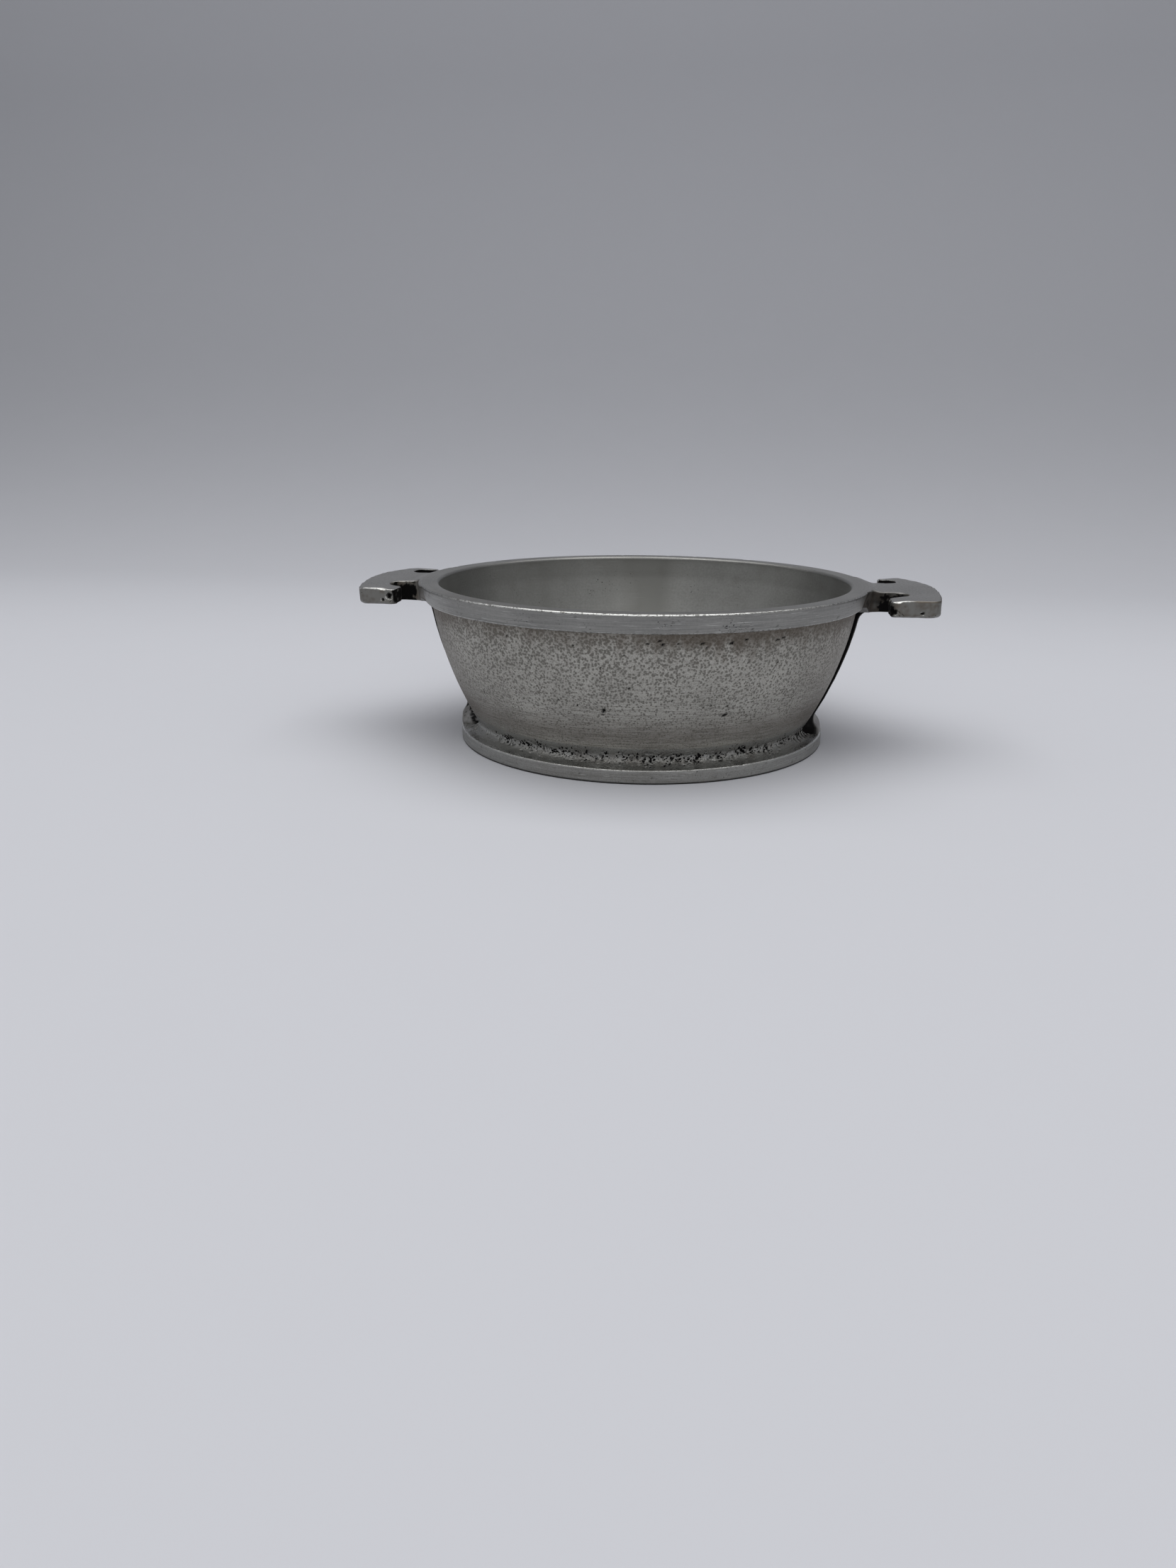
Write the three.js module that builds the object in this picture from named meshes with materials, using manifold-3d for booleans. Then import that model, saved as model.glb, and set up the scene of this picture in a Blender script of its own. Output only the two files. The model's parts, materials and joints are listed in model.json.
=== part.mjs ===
// A small cast-aluminium cooking pot: a round bowl with a heavy turned rim, a turned foot ring
// and two flat lug handles whose ends hook back towards the rim.
// Millimetres, +Z up. The origin is on the bowl's axis, on the surface that the pot stands on.
// The handles lie along X.

import * as THREE from 'three';
import { mergeVertices } from 'three/addons/utils/BufferGeometryUtils.js';
import Module from 'manifold-3d';

// Rim band
const POT_HEIGHT = 63.3;
const RIM_RADIUS = 89;
const RIM_WIDTH = 7.1;
const RIM_BAND_HEIGHT = 7.1;
const RIM_TAPER = THREE.MathUtils.degToRad(16);
const RIM_OUTER_ROUND = 0.7;
const RIM_INNER_ROUND = 1;
const RIM_LOWER_ROUND = 1;

// Bowl wall and floor
const WALL_SET_BACK = 4.1;
const WALL_THICKNESS = 3.4;
const WALL_BULGE = 2.42;
const FLOOR_THICKNESS = 5;
const FLOOR_FILLET = 7;
const FLOOR_FILLET_LIP = 0.5;
const FLOOR_INSET = 3.3;
const FLOOR_LEDGE = 5;

// Foot ring
const FOOT_RADIUS = 74.3;
const FOOT_BAND_HEIGHT = 5.3;
const FOOT_EDGE_ROUND = 0.5;
const COVE_WIDTH = 5.5;
const COVE_RISE = 3.3;

// Lug handles, finished by hand: the right one is a little longer, and on both the hook towards -Y,
// the front one, is wider and squarer than the rear one
const RIGHT_HANDLE_REACH = 26;
const LEFT_HANDLE_REACH = 23.3;
const HANDLE_THICKNESS = 6.8;
const HANDLE_DROP = 1.1;
const HANDLE_EDGE_ROUND = 0.9;
const NECK_WIDTH = 27.6;
const NECK_FILLET = 4.5;
const NECK_FILLET_SWEEP = THREE.MathUtils.degToRad(60);
const NECK_ROOT_DEPTH = 3;
const POCKET_WIDTH = 10.2;
const POCKET_DEPTH = 8;
const POCKET_ROUND = 4.6;
const HOOK_FRONT_WIDTH = 11.2;
const HOOK_REAR_WIDTH = 8.4;
const HOOK_STANDOFF = 4.5;
const HOOK_ROUND = 2.5;
const CROWN_FRONT_RISE = 4.2;
const CROWN_REAR_RISE = 8.4;
const CROWN_FRONT_ROUND = 3.2;
const CROWN_REAR_ROUND = 5;

// Straps under the handles
const STRAP_TOP_WIDTH = 26;
const STRAP_FOOT_WIDTH = 23;
const STRAP_TOP_PROUD = 1.3;
const STRAP_FOOT_PROUD = 0.5;
const STRAP_FILLET = 4.5;
const STRAP_LIP = 0.6;
const STRAP_FLARE_HEIGHT = 5.4;
const STRAP_FLARE_PULL = 4.4;
const STRAP_TOE = 0.8;

// The fit between neighbouring pieces, and how finely round shapes are stepped
const SEAM_GAP = 0.3;
const RING_STEPS = 72;
const ARC_STEPS = 2;
const WALL_STEPS = 8;
const BEVEL_STEPS = 2;
const SAME_POINT = 1e-6;

// Levels and radii that follow from the sizes above
const rimSeat = POT_HEIGHT - RIM_BAND_HEIGHT;
const rimInner = RIM_RADIUS - RIM_WIDTH;
const footTop = FOOT_BAND_HEIGHT + COVE_RISE;
const footEdge = FOOT_RADIUS - FOOT_EDGE_ROUND;
const wallFootRadius = footEdge - COVE_WIDTH;
const floorRadius = wallFootRadius - FLOOR_INSET;
const floorUnderside = footTop - FLOOR_THICKNESS;
const handleUnderside = POT_HEIGHT - HANDLE_DROP - HANDLE_THICKNESS;
const strapTop = Math.min(rimSeat, handleUnderside) - SEAM_GAP;

// The wall's outside is one arc from the foot to the rim seat, bulging out from its chord
const wallCurve = arcOverChord(
  new THREE.Vector2(wallFootRadius, footTop),
  new THREE.Vector2(RIM_RADIUS - WALL_SET_BACK, rimSeat),
  WALL_BULGE,
);

const wasm = await Module();
wasm.setup();

// The circle through two points that stands out by a given rise to the right of the way between them.
function arcOverChord(start, end, rise) {
  const chord = end.clone().sub(start);
  const outward = new THREE.Vector2(chord.y, -chord.x).normalize();
  const radius = chord.lengthSq() / (8 * rise) + rise / 2;
  const centre = start.clone().add(end).multiplyScalar(0.5).addScaledVector(outward, rise - radius);
  return { centre, radius };
}

// A point on the wall's arc at a given height, moved out from the wall's outside by a given amount.
function wallPoint(height, offset) {
  const { centre, radius } = wallCurve;
  const reach = radius + offset;
  return new THREE.Vector2(centre.x + Math.sqrt(reach ** 2 - (height - centre.y) ** 2), height);
}

// Points along the wall's arc between two heights, both ends included, moved out by an amount
// that may change evenly on the way.
function wallPoints(fromHeight, toHeight, fromOffset, toOffset = fromOffset) {
  const { lerp } = THREE.MathUtils;
  const points = [];
  for (let step = 0; step <= WALL_STEPS; step += 1) {
    const share = step / WALL_STEPS;
    points.push(wallPoint(lerp(fromHeight, toHeight, share), lerp(fromOffset, toOffset, share)));
  }
  return points;
}

// The points of a drawn path, with those that repeat the one before left out.
function sectionPoints(path) {
  const points = path.getPoints(ARC_STEPS);
  return points.filter((point, i) => i === 0 || point.distanceTo(points[i - 1]) > SAME_POINT);
}

// A solid of revolution about Z from a section of radius and height.
function turned(section) {
  return new THREE.LatheGeometry(section, RING_STEPS).rotateX(Math.PI / 2);
}

function toSolid(geometry) {
  const bare = geometry.clone();
  bare.deleteAttribute('normal');
  bare.deleteAttribute('uv');
  const merged = mergeVertices(bare);
  const vertProperties = new Float32Array(merged.attributes.position.array);
  const triVerts = new Uint32Array(merged.index.array);
  return new wasm.Manifold(new wasm.Mesh({ numProp: 3, vertProperties, triVerts }));
}

function toGeometry(solid) {
  const { vertProperties, triVerts } = solid.getMesh();
  const geometry = new THREE.BufferGeometry();
  geometry.setAttribute('position', new THREE.BufferAttribute(vertProperties, 3));
  geometry.setIndex(new THREE.BufferAttribute(triVerts, 1));
  geometry.computeVertexNormals();
  return geometry;
}

// The rim band's section, grown outwards by a gap for the pieces that fit round it.
function rimSection(gap) {
  const outerCentre = new THREE.Vector2(RIM_RADIUS - RIM_OUTER_ROUND, POT_HEIGHT - RIM_OUTER_ROUND);
  const lowerHeight = rimSeat + RIM_LOWER_ROUND;
  const slant = (RIM_OUTER_ROUND - RIM_LOWER_ROUND) / Math.cos(RIM_TAPER);
  const drawnIn = (outerCentre.y - lowerHeight) * Math.tan(RIM_TAPER);
  const lowerRadius = outerCentre.x + slant - drawnIn;
  const section = new THREE.Path();
  section.absarc(lowerRadius, lowerHeight, RIM_LOWER_ROUND + gap, -Math.PI / 2, -RIM_TAPER, false);
  section.absarc(outerCentre.x, outerCentre.y, RIM_OUTER_ROUND + gap, -RIM_TAPER, Math.PI / 2, false);
  section.absarc(
    rimInner + RIM_INNER_ROUND,
    POT_HEIGHT - RIM_INNER_ROUND,
    RIM_INNER_ROUND + gap,
    Math.PI / 2,
    Math.PI,
    false,
  );
  section.lineTo(wallPoint(rimSeat, -WALL_THICKNESS).x, rimSeat - gap);
  section.closePath();
  return sectionPoints(section);
}

function rimBand() {
  return turned(rimSection(0));
}

// The wall stands on the foot ring and the floor's edge, and carries the rim. Inside, a fillet
// leads it into the floor and ends in a short lip.
function bowlWall() {
  const { centre, radius } = wallCurve;
  const filletHeight = footTop + FLOOR_FILLET;
  const filletReach = radius - WALL_THICKNESS - FLOOR_FILLET;
  const filletRadius = centre.x + Math.sqrt(filletReach ** 2 - (filletHeight - centre.y) ** 2);
  const wallAngle = Math.atan2(filletHeight - centre.y, filletRadius - centre.x);
  const lipAngle = -Math.asin((FLOOR_FILLET - FLOOR_FILLET_LIP) / FLOOR_FILLET);
  const filletTop = filletHeight + FLOOR_FILLET * Math.sin(wallAngle);
  const fillet = new THREE.Path();
  fillet.absarc(filletRadius, filletHeight, FLOOR_FILLET, wallAngle, lipAngle, true);
  const filletPoints = sectionPoints(fillet);
  const lip = filletPoints[filletPoints.length - 1];
  const section = [
    ...wallPoints(footTop, rimSeat, 0),
    ...wallPoints(rimSeat, filletTop, -WALL_THICKNESS),
    ...filletPoints.slice(1),
    new THREE.Vector2(lip.x, footTop),
    wallPoint(footTop, 0),
  ];
  return turned(section);
}

function bowlFloor() {
  return turned([
    new THREE.Vector2(0, floorUnderside),
    new THREE.Vector2(floorRadius, floorUnderside),
    new THREE.Vector2(floorRadius, footTop),
    new THREE.Vector2(0, footTop),
  ]);
}

// The foot ring carries the wall on its top and the floor in a rebate. A cove leads from the
// foot band's top edge up to the wall.
function footRing() {
  const bore = floorRadius - FLOOR_LEDGE;
  const rebate = floorRadius + SEAM_GAP;
  const section = new THREE.Path();
  section.absarc(footEdge, FOOT_EDGE_ROUND, FOOT_EDGE_ROUND, -Math.PI / 2, 0, false);
  section.absarc(footEdge, FOOT_BAND_HEIGHT - FOOT_EDGE_ROUND, FOOT_EDGE_ROUND, 0, Math.PI / 2, false);
  section.absellipse(footEdge, footTop, COVE_WIDTH, COVE_RISE, -Math.PI / 2, Math.PI, true);
  section.lineTo(rebate, footTop);
  section.lineTo(rebate, floorUnderside);
  section.lineTo(bore, floorUnderside);
  section.lineTo(bore, 0);
  section.closePath();
  return turned(sectionPoints(section));
}

// Half of the handle's plan, from the middle of its outer edge round the hook and the pocket
// to the root of the neck. X runs away from the bowl's axis and Y along the rim.
function handleHalfPlan(reach, hookWidth, crownRise, crownRound) {
  const tip = RIM_RADIUS + reach;
  const neckSide = NECK_WIDTH / 2;
  const pocketSide = neckSide + POCKET_WIDTH;
  const hookSide = pocketSide + hookWidth;
  const hookFace = RIM_RADIUS + HOOK_STANDOFF;
  const pocketEnd = hookFace + POCKET_DEPTH;
  const pocketRound = Math.min(POCKET_ROUND, POCKET_WIDTH / 2);
  const hookRound = Math.min(HOOK_ROUND, hookWidth / 2, POCKET_DEPTH - pocketRound);

  // The outer edge is one flat arc, the crown, that runs smoothly into the corner round
  const inner = tip - crownRound;
  const cornerX = Math.max(inner - crownRise, hookFace + hookRound);
  const cornerY = hookSide - crownRound;
  const crownX = (inner ** 2 - cornerX ** 2 - cornerY ** 2) / (2 * (inner - cornerX));
  const cornerAngle = Math.atan2(cornerY, cornerX - crownX);

  const filletY = neckSide + NECK_FILLET;
  const filletX = Math.sqrt((RIM_RADIUS + NECK_FILLET) ** 2 - filletY ** 2);
  const filletEnd = -Math.PI / 2 - NECK_FILLET_SWEEP;

  const half = new THREE.Path();
  half.absarc(crownX, 0, tip - crownX, 0, cornerAngle, false);
  half.absarc(cornerX, cornerY, crownRound, cornerAngle, Math.PI / 2, false);
  half.absarc(hookFace + hookRound, hookSide - hookRound, hookRound, Math.PI / 2, Math.PI, false);
  half.absarc(hookFace + hookRound, pocketSide + hookRound, hookRound, Math.PI, Math.PI * 1.5, false);
  half.absarc(pocketEnd - pocketRound, pocketSide - pocketRound, pocketRound, Math.PI / 2, 0, true);
  half.absarc(pocketEnd - pocketRound, neckSide + pocketRound, pocketRound, 0, -Math.PI / 2, true);
  half.absarc(filletX, filletY, NECK_FILLET, -Math.PI / 2, filletEnd, true);
  half.lineTo(RIM_RADIUS - NECK_ROOT_DEPTH, filletY);
  return sectionPoints(half);
}

// A flat lug with rounded edges, cut to fit against the rim band. It reaches along +X, with its front
// half on the -Y side, or on the +Y side for a lug that is turned half way round afterwards.
function handle(reach, turnedRound) {
  const front = handleHalfPlan(reach, HOOK_FRONT_WIDTH, CROWN_FRONT_RISE, CROWN_FRONT_ROUND);
  const rear = handleHalfPlan(reach, HOOK_REAR_WIDTH, CROWN_REAR_RISE, CROWN_REAR_ROUND);
  const [upper, lower] = turnedRound ? [front, rear] : [rear, front];
  const mirrored = lower.slice(1).reverse().map(({ x, y }) => new THREE.Vector2(x, -y));
  const plan = new THREE.Shape([...upper, ...mirrored]);
  const slab = new THREE.ExtrudeGeometry(plan, {
    depth: HANDLE_THICKNESS - 2 * HANDLE_EDGE_ROUND,
    bevelThickness: HANDLE_EDGE_ROUND,
    bevelSize: HANDLE_EDGE_ROUND,
    bevelOffset: -HANDLE_EDGE_ROUND,
    bevelSegments: BEVEL_STEPS,
  });
  slab.translate(0, 0, handleUnderside + HANDLE_EDGE_ROUND);
  return toGeometry(toSolid(slab).subtract(toSolid(turned(rimSection(SEAM_GAP)))));
}

// The strap's section: it lies on the wall, turns out under the handle in a fillet,
// and flares onto the foot band's top edge.
function strapSection() {
  const { centre, radius } = wallCurve;
  const topFace = SEAM_GAP + STRAP_TOP_PROUD;
  const footFace = SEAM_GAP + STRAP_FOOT_PROUD;
  const toeHeight = FOOT_BAND_HEIGHT + SEAM_GAP;
  const flareTop = wallPoint(footTop + STRAP_FLARE_HEIGHT, footFace);
  const flareNormal = flareTop.clone().sub(centre).normalize();
  const filletHeight = strapTop - STRAP_LIP - STRAP_FILLET;
  const filletReach = radius + topFace + STRAP_FILLET;
  const filletRadius = centre.x + Math.sqrt(filletReach ** 2 - (filletHeight - centre.y) ** 2);
  const wallAngle = Math.atan2(filletHeight - centre.y, filletRadius - centre.x);
  const filletFoot = filletHeight - STRAP_FILLET * Math.sin(wallAngle);
  const back = wallPoints(strapTop, footTop + SEAM_GAP, SEAM_GAP);
  const backFoot = back[back.length - 1];

  const section = new THREE.Path();
  section.moveTo(footEdge, toeHeight);
  section.lineTo(footEdge, toeHeight + STRAP_TOE);
  section.quadraticCurveTo(
    flareTop.x + STRAP_FLARE_PULL * flareNormal.y,
    flareTop.y - STRAP_FLARE_PULL * flareNormal.x,
    flareTop.x,
    flareTop.y,
  );
  wallPoints(flareTop.y, filletFoot, footFace, topFace).forEach(({ x, y }) => section.lineTo(x, y));
  section.absarc(filletRadius, filletHeight, STRAP_FILLET, wallAngle + Math.PI, Math.PI / 2, true);
  section.lineTo(filletRadius, strapTop);
  back.forEach(({ x, y }) => section.lineTo(x, y));
  section.absellipse(
    footEdge,
    backFoot.y,
    footEdge - backFoot.x,
    COVE_RISE,
    Math.PI,
    Math.PI * 1.5,
    false,
  );
  section.closePath();
  return sectionPoints(section);
}

// A strap of tapering width, taken out of the turned section on the +X side.
function handleStrap() {
  const front = new THREE.Shape([
    new THREE.Vector2(-STRAP_FOOT_WIDTH / 2, 0),
    new THREE.Vector2(STRAP_FOOT_WIDTH / 2, 0),
    new THREE.Vector2(STRAP_TOP_WIDTH / 2, POT_HEIGHT),
    new THREE.Vector2(-STRAP_TOP_WIDTH / 2, POT_HEIGHT),
  ]);
  const slab = new THREE.ExtrudeGeometry(front, { depth: 2 * RIM_RADIUS, bevelEnabled: false });
  const alongX = new THREE.Matrix4().makeBasis(
    new THREE.Vector3(0, 1, 0),
    new THREE.Vector3(0, 0, 1),
    new THREE.Vector3(1, 0, 0),
  );
  slab.applyMatrix4(alongX);
  return toGeometry(toSolid(turned(strapSection())).intersect(toSolid(slab)));
}

const part = new THREE.Group();

function addPiece(name, geometry, color, roughness, turn = 0) {
  const material = new THREE.MeshStandardMaterial({ color, roughness, metalness: 1 });
  const mesh = new THREE.Mesh(geometry, material);
  mesh.name = name;
  mesh.rotation.z = turn;
  part.add(mesh);
}

addPiece('rim_band', rimBand(), 0x9d9d9a, 0.36);
addPiece('bowl_wall', bowlWall(), 0x86857f, 0.5);
addPiece('bowl_floor', bowlFloor(), 0x8c8b87, 0.42);
addPiece('foot_ring', footRing(), 0x95958f, 0.4);

const sides = [
  { side: 'right', reach: RIGHT_HANDLE_REACH, turn: 0 },
  { side: 'left', reach: LEFT_HANDLE_REACH, turn: Math.PI },
];
for (const { side, reach, turn } of sides) {
  addPiece(`${side}_handle`, handle(reach, turn > 0), 0x8a8985, 0.45, turn);
  addPiece(`${side}_handle_strap`, handleStrap(), 0x74736f, 0.55, turn);
}

export default part;
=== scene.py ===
"""Looks of a cast-aluminium cooking pot with two hooked lug handles, built around its CAD frame."""

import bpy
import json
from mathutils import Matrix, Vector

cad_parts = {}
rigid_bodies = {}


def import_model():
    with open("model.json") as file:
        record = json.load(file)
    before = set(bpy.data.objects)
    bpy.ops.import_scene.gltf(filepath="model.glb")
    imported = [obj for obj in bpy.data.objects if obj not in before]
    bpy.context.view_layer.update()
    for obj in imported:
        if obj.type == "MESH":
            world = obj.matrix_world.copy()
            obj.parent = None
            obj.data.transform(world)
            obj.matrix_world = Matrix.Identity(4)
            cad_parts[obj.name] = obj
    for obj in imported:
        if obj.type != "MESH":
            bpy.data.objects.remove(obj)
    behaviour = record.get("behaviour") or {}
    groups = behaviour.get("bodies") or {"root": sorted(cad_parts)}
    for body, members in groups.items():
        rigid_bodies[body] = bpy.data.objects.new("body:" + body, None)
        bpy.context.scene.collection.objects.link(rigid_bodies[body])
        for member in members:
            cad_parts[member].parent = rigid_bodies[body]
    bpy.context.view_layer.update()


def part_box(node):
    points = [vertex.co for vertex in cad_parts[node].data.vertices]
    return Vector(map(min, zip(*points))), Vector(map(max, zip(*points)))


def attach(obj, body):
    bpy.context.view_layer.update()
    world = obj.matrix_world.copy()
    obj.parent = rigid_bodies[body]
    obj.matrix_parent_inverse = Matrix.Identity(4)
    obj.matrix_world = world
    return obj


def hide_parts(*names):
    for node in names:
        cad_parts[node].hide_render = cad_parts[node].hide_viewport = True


bl_info = {
    "name": "Cast Aluminium Cooking Pot",
    "version": (1, 0, 0),
    "blender": (4, 5, 0),
    "location": "3D View > Sidebar > Cooking Pot",
    "description": "Builds the turned, pebbled and cast surfaces of a cooking pot around its CAD frame",
    "category": "Add Mesh",
}

import json
import math
from collections import namedtuple
from types import SimpleNamespace

import bpy
import numpy as np
from bpy.props import FloatProperty, FloatVectorProperty, PointerProperty
from bpy.types import Operator, Panel, PropertyGroup
from mathutils import Matrix, Vector
from mathutils.geometry import delaunay_2d_cdt

# The pot starts from an empty scene
for leftover in list(bpy.data.objects):
    bpy.data.objects.remove(leftover)

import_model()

MM = 0.001
BODY = "root"

RIM_LOW, RIM_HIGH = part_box("rim_band")
WALL_LOW, WALL_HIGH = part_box("bowl_wall")
FLOOR_LOW, FLOOR_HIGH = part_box("bowl_floor")
FOOT_LOW, FOOT_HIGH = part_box("foot_ring")
HANDLE_LOW, HANDLE_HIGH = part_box("right_handle")
LEFT_HANDLE_LOW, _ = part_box("left_handle")
LUG_DEPTH = HANDLE_HIGH.z - HANDLE_LOW.z

# Columns round the turned pieces: the wall and foot carry fine relief, the rim and lining do not
FINE_COLUMNS = 900
TURNED_COLUMNS = 720

# Cells after which the noise lattice repeats
LATTICE = 64

# The photograph that the camera matches, and where the camera stood, looked and leaned
PHOTO_HEIGHT_PX = 2212
FOCAL_PX = 1560
SENSOR = 36.0
CAMERA_PLACE = Vector((35.55, -449.14, 121.39)) * MM
CAMERA_AIM = Vector((-18.85, -24.3, -16.7)) * MM
CAMERA_ROLL = 0.0065

# Azimuths in degrees: the pot's front, and where the rim's edge catches most light, round which the rim gets
# its painted highlight and painted shade
FRONT = -90
RIM_LIGHT = -97

# Height at which the visible foot passes into the visible wall, and the step of the wall's mesh there
SEAM_HEIGHT = 12 * MM
WALL_STEP = 0.54 * MM

# How far the wall's and the foot's backs lie inside the metal, and how far the wall runs up into the rim
BURIED = 1.6 * MM
TUCK = 0.7 * MM

# The most that the brown film, with its painted shade, covers
FILM_LIMIT = 0.8

# Shares of the wall's height, and how thickly flecks lie at each
FLECK_DENSITY = ((0, 0.16, 0.4, 0.7, 0.9, 1), (0, 0.2, 0.5, 0.68, 0.85, 0.95))

# Single casting pits on the wall: azimuth in degrees, height, half length and half width, tilt in degrees
WALL_PITS = (
    (-95.0, 27.4 * MM, 1.0 * MM, 0.6 * MM, 78),
    (-95.5, 25.7 * MM, 0.6 * MM, 0.5 * MM, 0),
    (-62.6, 25.1 * MM, 1.3 * MM, 0.55 * MM, 22),
)

# Painted reflections as upright bands inside the bowl: azimuth and half width in degrees, and how dull, or
# bright if negative
LINING_REFLECTIONS = ((92, 8, 0.9), (111, 13, -0.35), (78, 8, -0.35), (45, 30, -0.5))

# Spacing of the chatter ridges on the foot's cove
RIDGE_PITCH = 2.8 * MM

# Casting voids in the front hooks' ends: distance from the axis, height, half size and depth
HOOK_VOIDS = {
    "left": ((95.1 * MM, 59.1 * MM, 1.2 * MM, 1.3 * MM), (97.7 * MM, 57.7 * MM, 0.55 * MM, 0.8 * MM)),
    "right": ((94.3 * MM, 57.9 * MM, 1.3 * MM, 0.7 * MM), (104.8 * MM, 57.6 * MM, 0.55 * MM, 0.7 * MM)),
}

# How far from the axis the hooks' top edges carry a painted highlight, past which painted shade dulls them
BRIGHT_TO = {"right": 101 * MM, "left": 108.5 * MM}

# Each hook's own shape: how much further from the rim its face starts, how much shorter and wider its pocket
# is, and the rise of the lug's outer edge over that corner with the corner's round
HOOKS = {
    ("right", "front"): (0.0 * MM, 0.0 * MM, 0.0 * MM, 3.0 * MM, 4.2 * MM),
    ("right", "rear"): (2.2 * MM, 0.0 * MM, 0.5 * MM, 8.4 * MM, 5.0 * MM),
    ("left", "front"): (-0.6 * MM, 2.3 * MM, 0.0 * MM, 4.3 * MM, 3.4 * MM),
    ("left", "rear"): (-1.2 * MM, 1.6 * MM, 2.4 * MM, 8.4 * MM, 5.0 * MM),
}

# The unturned pad round the neck's root: how proud it is, as a share of the pad's size, and the two angles
# from the neck's middle between which it dips under the rim band's face
PADS = {
    ("right", "front"): (1.0, 9.5, 18.0),
    ("right", "rear"): (2.1, 13.0, 24.0),
    ("left", "front"): (1.0, 14.0, 25.0),
    ("left", "rear"): (1.0, 14.0, 25.0),
}

# How deep the neck's root reaches into the rim
HANDLE_ROOT = 3.5 * MM

# Each strap's toe: how far inside the foot's edge it ends, how high it stands on the foot's band, and the
# height where it leaves the wall
STRAP_TOES = {"right": (0.5 * MM, 1.9 * MM, 13.5 * MM), "left": (0.12 * MM, 3.4 * MM, 15.5 * MM)}

# How much each strap's toe widens at the foot, and how far its sides spread on the cove
TOE_SPREAD = {"right": (2.2 * MM, 8 * MM), "left": (6.0 * MM, 13 * MM)}

# One side of the strap's section, in shares: place across its half width and lift off its base
STRAP_SHOULDER = (
    (-1, 0), (-1, 0.12), (-1, 0.25), (-1, 0.37), (-1, 0.5), (-1, 0.6),
    (-0.998, 0.7), (-0.99, 0.83), (-0.972, 0.94),
)

# How deep the strap's base lies in the wall
STRAP_BURIED = 0.6 * MM

# The handles' sides, and the sign that turns a lug or strap from +X to its side
SIDES = (("right", 1), ("left", -1))

# The cast grain, the turning lines and the spacing of the black specks, in metres. A tone says how strongly
# a pattern shades the metal
Grain = namedtuple("Grain", "size depth tone")
Lines = namedtuple("Lines", "width length depth tone")
Specks = namedtuple("Specks", "across around")

# What all aluminium shares: soft clouds, the wobble that makes flecks ragged, the depths of flecks and of the
# black grime, which also carries painted shade
CLOUD_SIZE = 18 * MM
CLOUD_TONE = 0.8
WOBBLE_SIZE = 0.9 * MM
FLECK_DEPTH = 0.05 * MM
GRIME_AND_SHADE_DEPTH = 0.12 * MM

# How much flecks and specks grow with their density, in shares of their spacing
FLECK_GROWTH = 0.36
SPECK_GROWTH = 0.4

# Faces that meet at more than this angle show a sharp edge
SHARP_ANGLE = math.radians(50)


def linear(hex_colour):
    """Turns an sRGB hex colour such as #8c8c8a into linear red, green, blue and an alpha of 1."""
    channels = np.array([int(hex_colour[i:i + 2], 16) for i in (1, 3, 5)]) / 255
    curved = ((channels + 0.055) / 1.055) ** 2.4
    return (*np.where(channels <= 0.04045, channels / 12.92, curved).tolist(), 1.0)


def length(name, description, default):
    """A length that the user can change, in metres."""
    return FloatProperty(
        name=name, description=description, default=default, min=0, unit="LENGTH", precision=4
    )


def colour(name, description, hex_colour):
    """A colour that the user can change."""
    return FloatVectorProperty(
        name=name, description=description, default=linear(hex_colour), size=4, min=0, max=1, subtype="COLOR"
    )


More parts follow.
